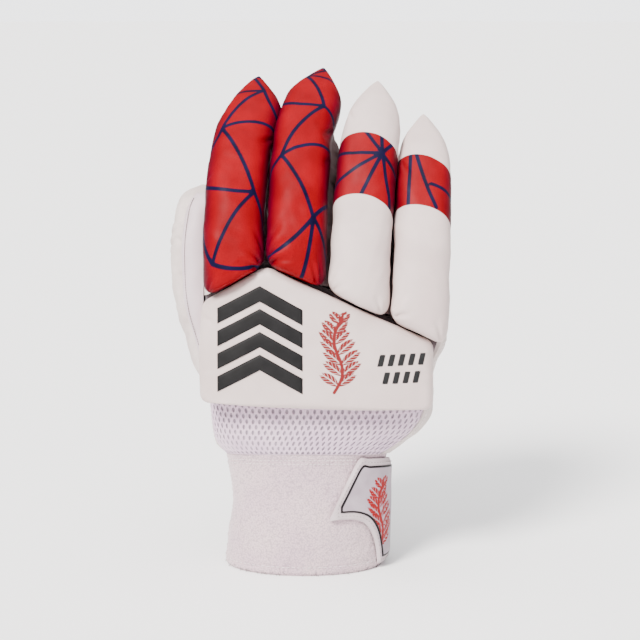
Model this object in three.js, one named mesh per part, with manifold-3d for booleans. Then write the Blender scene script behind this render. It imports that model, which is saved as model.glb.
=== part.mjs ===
// A right-hand cricket batting glove, standing on its wristband with the back of the hand towards -Y.
// Millimetres, +Z up, +X towards the little finger. The origin is the middle of the whole glove's foot print.
import * as THREE from 'three';
import Module from 'manifold-3d';

const wasm = await Module();
wasm.setup();

// Clearances
const SEAM_GAP = 0.3;
const CUT_GAP = 0.55;
const STALL_CUT_GAP = 1;
const LINE_GAP = 2.2;

// Wristband
const BAND_HEIGHT = 65.6;
const BAND_HALF_WIDTH = 46;
const BAND_HALF_DEPTH = 30;
const BAND_WALL = 4;
const BAND_FOOT_WALL = 2.6;
const BAND_TILT = 0.2;

// Strap and its label
const STRAP_THICKNESS = 2.4;
const STRAP_TOP_MARGIN = 2.4;
const STRAP_LOW_EDGE = 3;
const STRAP_CLEARANCE = 0.6;
const STRIP_LEAST_WIDTH = 1.2;
const LABEL_CLEARANCE = 0.45;
const LABEL_THICKNESS = 0.8;
const LABEL_MARGIN = 4.2;

// Hand tube: airmesh on the back, leather on the palm
const HAND_TOP = 195;
const HAND_HALF_WIDTH = 70;
const HAND_DEPTH = 60;
const HAND_WALL = 2.2;
const HAND_OVERRUN = 20;

// The side seam between airmesh and palm is a plane: its depth at the middle of the hand at SIDE_SEAM_LEVEL, and
// how it falls with X and rises with Z.
const SIDE_SEAM_DEPTH = -7;
const SIDE_SEAM_ACROSS = -0.134;
const SIDE_SEAM_RISE = 0.08;
const SIDE_SEAM_LEVEL = 98;

// Seam between hand tube and finger stalls, above the panel's upper edge
const ROOT_LIFT = 1.5;

// Back panel of the hand
const PANEL_LEFT = -60;
const PANEL_RIGHT = 70.5;
const PANEL_BOTTOM = 101.5;
const PANEL_BOTTOM_SLANT = 4;
const PANEL_LEFT_BULGE = 2;
const PANEL_APEX_X = -24;
const PANEL_APEX_Z = 179.5;
const PANEL_SHOULDER_LEFT = 158;
const PANEL_SHOULDER_RIGHT = 136;
const PANEL_FRONT = -44;
const PANEL_LEAN = 0.16;
const PANEL_CORNER = 5;
const PANEL_EDGE_ROUND = 5;
const PANEL_MAX_THICKNESS = 18;
const PANEL_BACKING_GAP = 1.5;
const PANEL_BOW = 10;
const PANEL_BOW_POWER = 2.4;

// Raised chevrons on the panel
const CHEVRON_COUNT = 4;
const CHEVRON_X = -27;
const CHEVRON_HALF_WIDTH = 24;
const CHEVRON_BAR = 8.6;
const CHEVRON_PITCH = 12.6;
const CHEVRON_RISE = 13;
const CHEVRON_TOP_Z = 169;
const CHEVRON_RELIEF = 0.9;
const CHEVRON_BEVEL = 0.8;
const CHEVRON_ROOT = 1.5;

// Finger rolls and stalls: the four fingers share the width of the hand
const FINGER_PITCH = HAND_HALF_WIDTH / 2;
const FINGER_TOP = 285;
const FINGER_REACH = 56;
const ROLL_SIDE_GAP = 1;
const ROLL_HALF_WIDTH = (FINGER_PITCH - ROLL_SIDE_GAP) / 2;
const ROLL_BASE_Y = -27;
const ROLL_SQUARE = 2.4;
const ROLL_FRONT_DEPTH = 12.5;
const ROLL_BACK_DEPTH = 12.5;
const ROLL_SEAT_GAP = 0.9;
const ROLL_SEAT_LEAN = 0.3;
const ROLL_TIP_TAPER = 60;
const ROLL_BASE_ROUND = 9;
const ROLL_BASE_SLANT = 0.86;
const ROLL_SLANT_REACH = 0.35;
const ROLL_SLANT_POWER = 1.5;
const ROLL_FOOT_SHARE = 0.72;
const STALL_SIDE_GAP = 9;
const STALL_HALF_WIDTH = (FINGER_PITCH - STALL_SIDE_GAP) / 2;
const STALL_HALF_DEPTH = 11;
const STALL_WALL = 1.6;
const STALL_ROOT_RUN = 18;
const STALL_BEHIND_ROLL = 22;
const STALL_LENGTH_SHARE = 0.86;
const STALL_ASIDE_REACH = 1 / 3;

// Thumb
const THUMB_HALF_WIDTH = 11.2;
const THUMB_HALF_DEPTH = 13;
const THUMB_WALL = 1.8;
const THUMB_LEAST_HALF = 0.5;
const THUMB_SLANT = 2;
const GUARD_HALF_WIDTH = 7.4;
const GUARD_HALF_DEPTH = 7;
const GUARD_ASIDE = 3.4;
const GUARD_SINK = 2.8;
const GUARD_SLANT = 1;

// Facets
const BAND_SIDES = 36;
const HAND_SIDES = 36;
const ROLL_SIDES = 20;
const STALL_SIDES = 14;
const STRIP_ROWS = 5;
const STRAP_COLUMNS = 40;
const LABEL_COLUMNS = 26;
const PANEL_SIDES = 48;
const LENGTH_STEPS = 20;

// One row for each finger. base, low, high and tip are where the roll's middle line lies across the hand at its
// base, at one and two thirds of its length and at its tip, in finger pitches. top is a share of FINGER_TOP,
// reach of FINGER_REACH, width of ROLL_HALF_WIDTH. aside is how far the stall stands aside, a share of
// STALL_HALF_WIDTH.
const INDEX = { base: -1.206, low: -1.171, high: -1.046, tip: -0.843, top: 0.984, reach: 0.893 };
const MIDDLE = { base: -0.197, low: -0.154, high: -0.054, tip: 0.246, top: 1, reach: 1 };
const RING = { base: 0.8, low: 0.877, high: 1.009, tip: 1.154, top: 0.975, reach: 0.821 };
const LITTLE = { base: 1.771, low: 1.837, high: 1.874, tip: 1.914, top: 0.909, reach: 0.679 };
const FINGERS = [
  { name: 'index', width: 1, aside: 0.19, ...INDEX },
  { name: 'middle', width: 0.982, aside: 0.27, ...MIDDLE },
  { name: 'ring', width: 1, aside: -0.08, ...RING },
  { name: 'little', width: 0.947, aside: -0.08, ...LITTLE },
];

// How a finger leans away: rise and reach are shares of its whole height and depth.
const FINGER_LEAN = [
  { along: 0, rise: 0, reach: 0 },
  { along: 0.2, rise: 0.24, reach: 0.09 },
  { along: 0.4, rise: 0.47, reach: 0.25 },
  { along: 0.6, rise: 0.67, reach: 0.47 },
  { along: 0.8, rise: 0.85, reach: 0.72 },
  { along: 1, rise: 1, reach: 1 },
];

// Width and depth of a roll towards its tip: from is a share of ROLL_TIP_TAPER, the rest of the full section.
const ROLL_TIP = [
  { from: 0, width: 0.04, depth: 0.05 },
  { from: 0.06, width: 0.19, depth: 0.16 },
  { from: 0.17, width: 0.4, depth: 0.33 },
  { from: 0.33, width: 0.66, depth: 0.54 },
  { from: 0.5, width: 0.85, depth: 0.73 },
  { from: 0.72, width: 0.97, depth: 0.9 },
  { from: 1, width: 1, depth: 1 },
];

// Width and depth of a stall along it, as shares of its full section, and how square its section is.
const STALL_SHAPE = [
  { along: 0, width: 1.27, depth: 1.2, square: 4.5 },
  { along: 0.16, width: 1.12, depth: 1.1, square: 3 },
  { along: 0.34, width: 1, depth: 1.04, square: 2.3 },
  { along: 0.6, width: 1, depth: 1, square: 2.2 },
  { along: 0.8, width: 0.95, depth: 0.94, square: 2.1 },
  { along: 0.92, width: 0.76, depth: 0.74, square: 2 },
  { along: 0.98, width: 0.44, depth: 0.42, square: 2 },
  { along: 1, width: 0.12, depth: 0.12, square: 2 },
];

// Wristband sections: up is a share of its height, width and depth of half its size, shift of its half width.
const BAND_SHAPE = [
  { up: 0, width: 0.955, depth: 0.94, shift: -0.05 },
  { up: 0.02, width: 0.99, depth: 0.985, shift: -0.055 },
  { up: 0.07, width: 1.005, depth: 1, shift: -0.055 },
  { up: 0.28, width: 0.995, depth: 0.995, shift: -0.04 },
  { up: 0.55, width: 0.99, depth: 0.97, shift: -0.025 },
  { up: 0.82, width: 0.99, depth: 0.955, shift: -0.025 },
  { up: 1, width: 1.015, depth: 0.965, shift: -0.025 },
];

// Hand tube sections: up is a share of HAND_TOP, the sides of HAND_HALF_WIDTH, front and back of HAND_DEPTH.
// square says how square the section is: 2 is an oval. tilt is its share of the wristband's tilt.
const HAND_SHAPE = [
  { up: 0.338, left: -0.68, right: 0.675, front: -0.478, back: 0.455, tilt: 1, square: 2.2 },
  { up: 0.362, left: -0.755, right: 0.77, front: -0.492, back: 0.49, tilt: 0.95, square: 2.3 },
  { up: 0.405, left: -0.79, right: 0.925, front: -0.5, back: 0.52, tilt: 0.7, square: 2.4 },
  { up: 0.47, left: -0.81, right: 1.03, front: -0.5, back: 0.53, tilt: 0.4, square: 2.5 },
  { up: 0.56, left: -0.835, right: 1.035, front: -0.485, back: 0.5, tilt: 0, square: 2.6 },
  { up: 0.66, left: -0.845, right: 1.04, front: -0.44, back: 0.46, tilt: 0, square: 2.8 },
  { up: 0.78, left: -0.85, right: 1.07, front: -0.385, back: 0.36, tilt: 0, square: 3.3 },
  { up: 0.9, left: -0.85, right: 1.105, front: -0.33, back: 0.23, tilt: 0, square: 4 },
  { up: 1, left: -0.85, right: 1.125, front: -0.3, back: 0.145, tilt: 0, square: 4.6 },
];

// Above this share of HAND_TOP the sections slant more and more, until the last lies along the finger roots.
const KNUCKLE_START = 0.56;

// Outline of the strap on the angle round the wristband: -90 is the front, 0 the little-finger side.
// low and high are shares of the band's height. The label's outline follows it, inside LABEL_MARGIN.
const STRAP_OUTLINE = [
  { angle: -73, low: 0.44, high: 0.46 },
  { angle: -66, low: 0.442, high: 0.63 },
  { angle: -57, low: 0.437, high: 0.84 },
  { angle: -50, low: 0.42, high: 1 },
  { angle: -43, low: 0.385, high: 1 },
  { angle: -37, low: 0.325, high: 1 },
  { angle: -31, low: 0.23, high: 1 },
  { angle: -27, low: 0.12, high: 1 },
  { angle: -25, low: 0.045, high: 1 },
  { angle: 0, low: 0.045, high: 1 },
  { angle: 60, low: 0.06, high: 0.98 },
  { angle: 110, low: 0.1, high: 0.94 },
  { angle: 152, low: 0.12, high: 0.92 },
];
const LABEL_START_ANGLE = -65;
const LABEL_END_ANGLE = 62;

// Where the rings of a roll, a stall and the hand tube lie, as shares of the length or height.
const ROLL_LEVELS = [0, 0.012, 0.035, 0.07, 0.14, 0.23, 0.31, 0.4, 0.48, 0.57, 0.66, 0.74, 0.83, 0.91, 1];
const STALL_LEVELS = [0, 0.14, 0.34, 0.6, 0.82, 0.93, 0.98, 1];
const HAND_LEVELS = [0.338, 0.35, 0.37, 0.405, 0.45, 0.52, 0.6, 0.7, 0.8, 0.9, 1];

// Rings of the back panel, from its middle out, as shares of the outline.
const PANEL_RINGS = [0.3, 0.65];
const PANEL_MIDDLE_X = 5;
const PANEL_MIDDLE_Z = 123;

// Thumb middle line: up is a share of HAND_TOP, out a share of HAND_HALF_WIDTH, back of HAND_DEPTH.
const THUMB_LINE = [
  { up: 0.5, out: -0.67, back: 0.16, size: 0.8 },
  { up: 0.585, out: -0.79, back: 0.17, size: 0.95 },
  { up: 0.68, out: -0.865, back: 0.19, size: 1.03 },
  { up: 0.78, out: -0.94, back: 0.23, size: 1.07 },
  { up: 0.88, out: -0.965, back: 0.3, size: 1.1 },
  { up: 0.97, out: -0.965, back: 0.37, size: 1.11 },
  { up: 1.04, out: -0.945, back: 0.44, size: 1.08 },
  { up: 1.08, out: -0.925, back: 0.48, size: 0.98 },
  { up: 1.105, out: -0.9, back: 0.51, size: 0.7 },
  { up: 1.115, out: -0.88, back: 0.52, size: 0.2 },
];
const THUMB_LEVELS = [0.5, 0.59, 0.68, 0.77, 0.86, 0.95, 1.04, 1.08, 1.1, 1.112, 1.115];
const GUARD_LEVELS = [0.56, 0.616, 0.671, 0.727, 0.782, 0.838, 0.893, 0.949, 1.004, 1.06, 1.09, 1.105];
const THUMB_SQUARE = 2.2;
const GUARD_SQUARE = 2.3;

// Reads a named column of a table, between its rows, with a smooth curve through them.
function read(table, key, column, at) {
  const last = table.length - 1;
  let i = 0;
  while (i < last - 1 && at > table[i + 1][key]) i++;
  const a = table[i];
  const b = table[i + 1];
  const before = table[Math.max(i - 1, 0)];
  const after = table[Math.min(i + 2, last)];
  const span = b[key] - a[key];
  const t = THREE.MathUtils.clamp((at - a[key]) / span, 0, 1);
  const straight = (b[column] - a[column]) / span;
  const slopeA = i > 0 ? (b[column] - before[column]) / (b[key] - before[key]) : straight;
  const slopeB = i < last - 1 ? (after[column] - a[column]) / (after[key] - a[key]) : straight;
  const t2 = t * t;
  const t3 = t2 * t;
  return (
    (2 * t3 - 3 * t2 + 1) * a[column] +
    (t3 - 2 * t2 + t) * slopeA * span +
    (3 * t2 - 2 * t3) * b[column] +
    (t3 - t2) * slopeB * span
  );
}

// A point of a rounded square of half size 1: squareness 2 is a circle.
function roundSquare(turn, squareness) {
  const c = Math.cos(turn);
  const s = Math.sin(turn);
  const power = 2 / squareness;
  return [Math.sign(c) * Math.abs(c) ** power, Math.sign(s) * Math.abs(s) ** power];
}

function turns(count) {
  return Array.from({ length: count }, (_, i) => (i / count) * Math.PI * 2);
}

function steps(from, to, count) {
  return Array.from({ length: count }, (_, i) => from + ((to - from) * i) / (count - 1));
}

// Joins rings of points into one closed solid: a fan over each end, or the last ring joined to the first.
function skin(rings, { loop = false } = {}) {
  const sides = rings[0].length;
  const points = rings.flat().map((p) => [p.x, p.y, p.z]);
  const faces = [];
  const bands = loop ? rings.length : rings.length - 1;
  for (let r = 0; r < bands; r++) {
    for (let i = 0; i < sides; i++) {
      const a = r * sides + i;
      const b = r * sides + ((i + 1) % sides);
      const c = ((r + 1) % rings.length) * sides + ((i + 1) % sides);
      const d = ((r + 1) % rings.length) * sides + i;
      faces.push([a, b, c], [a, c, d]);
    }
  }
  if (!loop) {
    for (const [first, flip] of [[0, true], [(rings.length - 1) * sides, false]]) {
      const ring = points.slice(first, first + sides);
      const middle = [0, 1, 2].map((k) => ring.reduce((sum, p) => sum + p[k], 0) / sides);
      const hub = points.push(middle) - 1;
      for (let i = 0; i < sides; i++) {
        const a = first + i;
        const b = first + ((i + 1) % sides);
        faces.push(flip ? [hub, b, a] : [hub, a, b]);
      }
    }
  }
  return solid(points, faces);
}

// A manifold solid from points and triangles, turned so that its faces point out.
function solid(points, faces) {
  let volume = 0;
  for (const face of faces) {
    const [p, q, r] = face.map((i) => new THREE.Vector3(...points[i]));
    volume += p.dot(q.cross(r));
  }
  const out = volume > 0 ? faces : faces.map(([a, b, c]) => [a, c, b]);
  const vertProperties = new Float32Array(points.flat());
  const triVerts = new Uint32Array(out.flat());
  return new wasm.Manifold(new wasm.Mesh({ numProp: 3, vertProperties, triVerts }));
}

function toMesh(name, shape, material) {
  const { vertProperties, triVerts } = shape.getMesh();
  const geometry = new THREE.BufferGeometry();
  geometry.setAttribute('position', new THREE.BufferAttribute(vertProperties, 3));
  geometry.setIndex(new THREE.BufferAttribute(triVerts, 1));
  geometry.computeVertexNormals();
  const mesh = new THREE.Mesh(geometry, material);
  mesh.name = name;
  return mesh;
}

// Wristband: an oval tube of padded towelling with a rolled lower edge and a tilted top.
function bandPoint(angle, up, offset) {
  const halfWidth = BAND_HALF_WIDTH * read(BAND_SHAPE, 'up', 'width', up) + offset;
  const halfDepth = BAND_HALF_DEPTH * read(BAND_SHAPE, 'up', 'depth', up) + offset;
  const x = BAND_HALF_WIDTH * read(BAND_SHAPE, 'up', 'shift', up) + halfWidth * Math.cos(angle);
  const y = halfDepth * Math.sin(angle);
  return new THREE.Vector3(x, y, up * (BAND_HEIGHT - BAND_TILT * y));
}

function wristband() {
  const levels = BAND_SHAPE.map((row) => row.up);
  const around = turns(BAND_SIDES);
  const outer = levels.map((up) => around.map((a) => bandPoint(a, up, 0)));
  const wall = (up) => (up === 0 ? BAND_FOOT_WALL : BAND_WALL);
  const inner = levels.map((up) => around.map((a) => bandPoint(a, up, -wall(up))));
  return skin([...outer, ...inner.reverse()], { loop: true });
}

// A strip laid on the wristband between two angles, with its edges read from the strap's outline.
function wrappedStrip(from, to, columns, margin, inside, thickness) {
  const rings = steps(from, to, columns).map((angle) => {
    const turn = THREE.MathUtils.degToRad(angle);
    const top = BAND_HEIGHT - BAND_TILT * bandPoint(turn, 1, 0).y;
    const low = Math.max(read(STRAP_OUTLINE, 'angle', 'low', angle) * BAND_HEIGHT, STRAP_LOW_EDGE) + margin;
    const high = read(STRAP_OUTLINE, 'angle', 'high', angle) * top - STRAP_TOP_MARGIN - margin;
    const middle = (low + high) / 2;
    const half = Math.max(high - low, STRIP_LEAST_WIDTH) / 2;
    const levels = steps(middle - half, middle + half, STRIP_ROWS).map((z) => z / top);
    return [
      ...levels.map((up) => bandPoint(turn, up, inside)),
      ...levels.reverse().map((up) => bandPoint(turn, up, inside + thickness)),
    ];
  });
  return skin(rings);
}

function strap() {
  const first = STRAP_OUTLINE[0].angle;
  const last = STRAP_OUTLINE[STRAP_OUTLINE.length - 1].angle;
  return wrappedStrip(first, last, STRAP_COLUMNS, 0, STRAP_CLEARANCE, STRAP_THICKNESS);
}

function strapLabel() {
  const inside = STRAP_CLEARANCE + STRAP_THICKNESS + LABEL_CLEARANCE;
  const [first, last] = [LABEL_START_ANGLE, LABEL_END_ANGLE];
  return wrappedStrip(first, last, LABEL_COLUMNS, LABEL_MARGIN, inside, LABEL_THICKNESS);
}

// Height of the seam between hand tube and finger stalls: two slopes that meet above the panel's apex.
function rootHeight(x) {
  return PANEL_APEX_Z + ROOT_LIFT + rollBaseSlope(x) * (x - PANEL_APEX_X);
}

// Hand tube: an open sleeve from the wristband to the roots of the fingers.
function handPoint(turn, up, offset) {
  const left = HAND_HALF_WIDTH * read(HAND_SHAPE, 'up', 'left', up) - offset;
  const right = HAND_HALF_WIDTH * read(HAND_SHAPE, 'up', 'right', up) + offset;
  const front = HAND_DEPTH * read(HAND_SHAPE, 'up', 'front', up) - offset;
  const back = HAND_DEPTH * read(HAND_SHAPE, 'up', 'back', up) + offset;
  const [c, s] = roundSquare(turn, read(HAND_SHAPE, 'up', 'square', up));
  const x = (left + right) / 2 + ((right - left) / 2) * c;
  const y = (front + back) / 2 + ((back - front) / 2) * s;
  const share = Math.max((up - KNUCKLE_START) / (1 - KNUCKLE_START), 0);
  const level = Math.min(up, KNUCKLE_START) * HAND_TOP;
  const z = THREE.MathUtils.lerp(level, rootHeight(x), share);
  return new THREE.Vector3(x, y, z - BAND_TILT * read(HAND_SHAPE, 'up', 'tilt', up) * y);
}

function handForm(offset, from, to) {
  const around = turns(HAND_SIDES);
  const rings = HAND_LEVELS.map((up) => around.map((a) => handPoint(a, up, offset)));
  const shifted = (ring, dz) => ring.map((p) => p.clone().setZ(p.z + dz));
  if (from !== 0) rings.unshift(shifted(rings[0], from));
  if (to !== 0) rings.push(shifted(rings[rings.length - 1], to));
  return skin(rings);
}

// Where the hand tube's front surface lies at a place seen from the front.
function handFront(x, z) {
  const level = KNUCKLE_START * HAND_TOP;
  const share = Math.min((z - level) / (rootHeight(x) - level), 1);
  const low = Math.max(z / HAND_TOP, HAND_SHAPE[0].up);
  const up = share > 0 ? KNUCKLE_START + (1 - KNUCKLE_START) * share : low;
  const left = HAND_HALF_WIDTH * read(HAND_SHAPE, 'up', 'left', up);
  const right = HAND_HALF_WIDTH * read(HAND_SHAPE, 'up', 'right', up);
  const front = HAND_DEPTH * read(HAND_SHAPE, 'up', 'front', up);
  const back = HAND_DEPTH * read(HAND_SHAPE, 'up', 'back', up);
  const across = Math.min(Math.abs(x - (left + right) / 2) / ((right - left) / 2), 1);
  const square = read(HAND_SHAPE, 'up', 'square', up);
  const bulge = (1 - across ** square) ** (1 / square);
  return (front + back) / 2 - ((back - front) / 2) * bulge;
}

// Keeps what lies above the seam with the hand tube, on the slope that the finger stands on.
function stallTrim(finger, shape) {
  const slope = rollBaseSlope(finger.base * FINGER_PITCH);
  const height = PANEL_APEX_Z + ROOT_LIFT + SEAM_GAP - slope * PANEL_APEX_X;
  return shape.trimByPlane([-slope, 0, 1], height / Math.hypot(slope, 1));
}

// Keeps one side of the side seam: 1 is the back of the hand, -1 the palm.
function sideTrim(shape, side, clearance) {
  const normal = [SIDE_SEAM_ACROSS * side, -side, SIDE_SEAM_RISE * side];
  const size = Math.hypot(...normal);
  const offset = ((SIDE_SEAM_RISE * SIDE_SEAM_LEVEL - SIDE_SEAM_DEPTH) * side) / size;
  return shape.trimByPlane(normal, offset + clearance);
}

// Back panel: its front surface leans with the hand and bows round it.
function panelFront(x, z) {
  const middle = (PANEL_LEFT + PANEL_RIGHT) / 2;
  const across = Math.abs(x - middle) / ((PANEL_RIGHT - PANEL_LEFT) / 2);
  return PANEL_FRONT + (z - PANEL_BOTTOM) * PANEL_LEAN + PANEL_BOW * across ** PANEL_BOW_POWER;
}

function panelBack(x, z) {
  return Math.min(handFront(x, z) - PANEL_BACKING_GAP, panelFront(x, z) + PANEL_MAX_THICKNESS);
}

function panelOutline() {
  const corners = [
    [PANEL_LEFT - PANEL_LEFT_BULGE / 2, PANEL_BOTTOM + PANEL_BOTTOM_SLANT / 4],
    [PANEL_RIGHT, PANEL_BOTTOM - (PANEL_BOTTOM_SLANT * 3) / 4],
    [PANEL_RIGHT, PANEL_SHOULDER_RIGHT],
    [PANEL_APEX_X, PANEL_APEX_Z],
    [PANEL_LEFT, PANEL_SHOULDER_LEFT],
    [PANEL_LEFT - PANEL_LEFT_BULGE, (PANEL_BOTTOM + PANEL_SHOULDER_LEFT) / 2],
  ].map(([x, z]) => new THREE.Vector2(x, z));
  const path = new THREE.Path();
  corners.forEach((corner, i) => {
    const before = corners[(i + corners.length - 1) % corners.length];
    const after = corners[(i + 1) % corners.length];
    const start = corner.clone().add(before.clone().sub(corner).setLength(PANEL_CORNER));
    const end = corner.clone().add(after.clone().sub(corner).setLength(PANEL_CORNER));
    if (i === 0) path.moveTo(start.x, start.y);
    else path.lineTo(start.x, start.y);
    path.quadraticCurveTo(corner.x, corner.y, end.x, end.y);
  });
  path.closePath();
  return path.getSpacedPoints(PANEL_SIDES).slice(0, -1);
}

function backPanel(grow = 0) {
  const outline = panelOutline();
  const middle = new THREE.Vector2(PANEL_MIDDLE_X, PANEL_MIDDLE_Z);
  const inward = (p, inset) => {
    const d = p.clone().sub(middle);
    return middle.clone().add(d.setLength(Math.max(d.length() - inset + grow, 0)));
  };
  const ring = (shape, depth) => outline.map((p) => {
    const q = shape(p);
    return new THREE.Vector3(q.x, depth(q.x, q.y), q.y);
  });
  const shrink = (share) => (p) => middle.clone().lerp(p, share);
  const face = (x, z) => panelFront(x, z) - grow;
  const rear = (x, z) => panelBack(x, z) + grow;
  const edge = PANEL_EDGE_ROUND;
  const bend = edge * (1 - Math.SQRT1_2);
  return skin([
    ...PANEL_RINGS.map((share) => ring(shrink(share), rear)),
    ring((p) => inward(p, edge / 2), rear),
    ring((p) => inward(p, 0), (x, z) => face(x, z) + edge),
    ring((p) => inward(p, bend), (x, z) => face(x, z) + bend),
    ring((p) => inward(p, edge), face),
    ...PANEL_RINGS.toReversed().map((share) => ring(shrink(share), face)),
  ]);
}

// One raised chevron: two arms that rise to the middle, following the panel's surface.
function chevron(peakZ) {
  const columns = [-1, -0.5, 0, 0.5, 1];
  const rings = columns.map((share) => {
    const x = CHEVRON_X + share * CHEVRON_HALF_WIDTH;
    const top = peakZ - Math.abs(share) * CHEVRON_RISE;
    const corner = (z, lift) => new THREE.Vector3(x, panelFront(x, z) - lift, z);
    const low = top - CHEVRON_BAR;
    return [
      corner(top, -CHEVRON_ROOT),
      corner(top, CHEVRON_RELIEF / 2),
      corner(top - CHEVRON_BEVEL, CHEVRON_RELIEF),
      corner(low + CHEVRON_BEVEL, CHEVRON_RELIEF),
      corner(low, CHEVRON_RELIEF / 2),
      corner(low, -CHEVRON_ROOT),
    ];
  });
  return skin(rings);
}

// The line on which a finger's roll starts: it runs along the panel's upper edge.
function rollBaseSlope(x) {
  return x < PANEL_APEX_X
    ? (PANEL_APEX_Z - PANEL_SHOULDER_LEFT) / (PANEL_APEX_X - PANEL_LEFT)
    : (PANEL_SHOULDER_RIGHT - PANEL_APEX_Z) / (PANEL_RIGHT - PANEL_APEX_X);
}

// Middle line of a finger's roll, with its directions: side is across the finger, behind is towards the palm.
function fingerFrame(finger, along) {
  const baseX = finger.base * FINGER_PITCH;
  const slope = rollBaseSlope(baseX);
  const baseZ = PANEL_APEX_Z + slope * (baseX - PANEL_APEX_X) + LINE_GAP;
  const tipY = finger.reach * FINGER_REACH;
  const tipZ = finger.top * FINGER_TOP;
  const across = [
    { along: 0, pitches: finger.base },
    { along: 1 / 3, pitches: finger.low },
    { along: 2 / 3, pitches: finger.high },
    { along: 1, pitches: finger.tip },
  ];
  const place = (t) => {
    const x = FINGER_PITCH * read(across, 'along', 'pitches', t);
    const y = ROLL_BASE_Y + (tipY - ROLL_BASE_Y) * read(FINGER_LEAN, 'along', 'reach', t);
    return new THREE.Vector3(x, y, baseZ + (tipZ - baseZ) * read(FINGER_LEAN, 'along', 'rise', t));
  };
  const at = place(along);
  const tangent = place(Math.min(along + 0.02, 1)).sub(place(Math.max(along - 0.02, 0))).normalize();
  const behind = new THREE.Vector3(1, 0, 0).cross(tangent).negate().normalize();
  const side = tangent.clone().cross(behind).negate().normalize();
  return { at, tangent, side, behind, slope };
}

function fingerLength(finger) {
  const line = steps(0, 1, LENGTH_STEPS + 1).map((along) => fingerFrame(finger, along).at);
  return line.slice(1).reduce((sum, at, i) => sum + at.distanceTo(line[i]), 0);
}

// How far a stall stands aside of its roll, at a share of its length.
function stallAside(finger, share) {
  return finger.aside * STALL_HALF_WIDTH * Math.min(share / STALL_ASIDE_REACH, 1);
}

// How far behind a roll's middle line the front of its stall lies, at a place across the finger.
function stallFront(finger, along, across) {
  const share = along / STALL_LENGTH_SHARE;
  if (share >= 1) return Infinity;
  const halfWidth = STALL_HALF_WIDTH * read(STALL_SHAPE, 'along', 'width', share);
  const off = Math.abs(across - stallAside(finger, share)) / halfWidth;
  if (off >= 1) return Infinity;
  const square = read(STALL_SHAPE, 'along', 'square', share);
  const halfDepth = STALL_HALF_DEPTH * read(STALL_SHAPE, 'along', 'depth', share);
  return STALL_BEHIND_ROLL - halfDepth * (1 - off ** square) ** (1 / square);
}

// A roll's section: a dome in front, and a back that sits on the stall.
function rollRing(finger, along, length) {
  const { at, side, behind, slope } = fingerFrame(finger, along);
  const toTip = ((1 - along) * length) / ROLL_TIP_TAPER;
  const fromBase = Math.min((along * length) / ROLL_BASE_ROUND, 1);
  const foot = ROLL_FOOT_SHARE + (1 - ROLL_FOOT_SHARE) * Math.sqrt(1 - (1 - fromBase) ** 2);
  const width = finger.width * ROLL_HALF_WIDTH * read(ROLL_TIP, 'from', 'width', toTip) * foot;
  const deep = read(ROLL_TIP, 'from', 'depth', toTip) * foot;
  const shear = slope * Math.max(1 - along / ROLL_SLANT_REACH, 0) ** ROLL_SLANT_POWER;
  return turns(ROLL_SIDES).map((turn) => {
    const [c, s] = roundSquare(turn, ROLL_SQUARE);
    const full = s * deep * (s > 0 ? ROLL_BACK_DEPTH : ROLL_FRONT_DEPTH);
    const rise = ROLL_BASE_SLANT * shear * c * width;
    const seat = stallFront(finger, along, c * width) - ROLL_SEAT_GAP - ROLL_SEAT_LEAN * Math.max(-rise, 0);
    const n = Math.min(full, seat);
    const p = at.clone().addScaledVector(side, c * width).addScaledVector(behind, n);
    p.z += rise;
    return p;
  });
}

function roll(finger) {
  const length = fingerLength(finger);
  return skin(ROLL_LEVELS.map((along) => rollRing(finger, along, length)));
}

// Middle line of a finger's stall, behind its roll, from the hand tube's upper edge.
function stallFrame(finger, share) {
  const along = share * STALL_LENGTH_SHARE;
  const frame = fingerFrame(finger, along);
  const at = frame.at.clone().addScaledVector(frame.behind, STALL_BEHIND_ROLL);
  at.x += stallAside(finger, share);
  return { ...frame, at };
}

function stallRings(finger, wall) {
  const rings = STALL_LEVELS.map((share) => {
    const { at, side, behind } = stallFrame(finger, share);
    const width = STALL_HALF_WIDTH * read(STALL_SHAPE, 'along', 'width', share) - wall;
    const depth = STALL_HALF_DEPTH * read(STALL_SHAPE, 'along', 'depth', share) - wall;
    const square = read(STALL_SHAPE, 'along', 'square', share);
    return turns(STALL_SIDES).map((turn) => {
      const [c, s] = roundSquare(turn, square);
      return at.clone().addScaledVector(side, c * width).addScaledVector(behind, s * depth);
    });
  });
  return [rings[0].map((p) => p.clone().setZ(p.z - STALL_ROOT_RUN)), ...rings];
}

// Thumb: a closed-ended tube beside the hand, open into it.
function thumbFrame(up) {
  return new THREE.Vector3(
    HAND_HALF_WIDTH * read(THUMB_LINE, 'up', 'out', up),
    HAND_DEPTH * read(THUMB_LINE, 'up', 'back', up),
    HAND_TOP * up,
  );
}

function thumbForm(grow) {
  const kept = grow < 0 ? THUMB_LEVELS.slice(0, -2) : THUMB_LEVELS;
  return skin(kept.map((up) => {
    const at = thumbFrame(up);
    const size = read(THUMB_LINE, 'up', 'size', up);
    return turns(STALL_SIDES).map((turn) => {
      const [c, s] = roundSquare(turn, THUMB_SQUARE);
      return new THREE.Vector3(
        at.x + c * Math.max(THUMB_HALF_WIDTH * size + grow, THUMB_LEAST_HALF),
        at.y + s * Math.max(THUMB_HALF_DEPTH * size + grow, THUMB_LEAST_HALF),
        at.z - s * THUMB_SLANT,
      );
    });
  }));
}

function thumbGuard() {
  return skin(GUARD_LEVELS.map((up) => {
    const at = thumbFrame(up);
    const size = read(THUMB_LINE, 'up', 'size', up);
    return turns(STALL_SIDES).map((turn) => {
      const [c, s] = roundSquare(turn, GUARD_SQUARE);
      return new THREE.Vector3(
        at.x + GUARD_ASIDE + c * GUARD_HALF_WIDTH * size,
        at.y - THUMB_HALF_DEPTH * size - GUARD_HALF_DEPTH + GUARD_SINK + s * GUARD_HALF_DEPTH * size,
        at.z - s * GUARD_SLANT,
      );
    });
  }));
}

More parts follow.
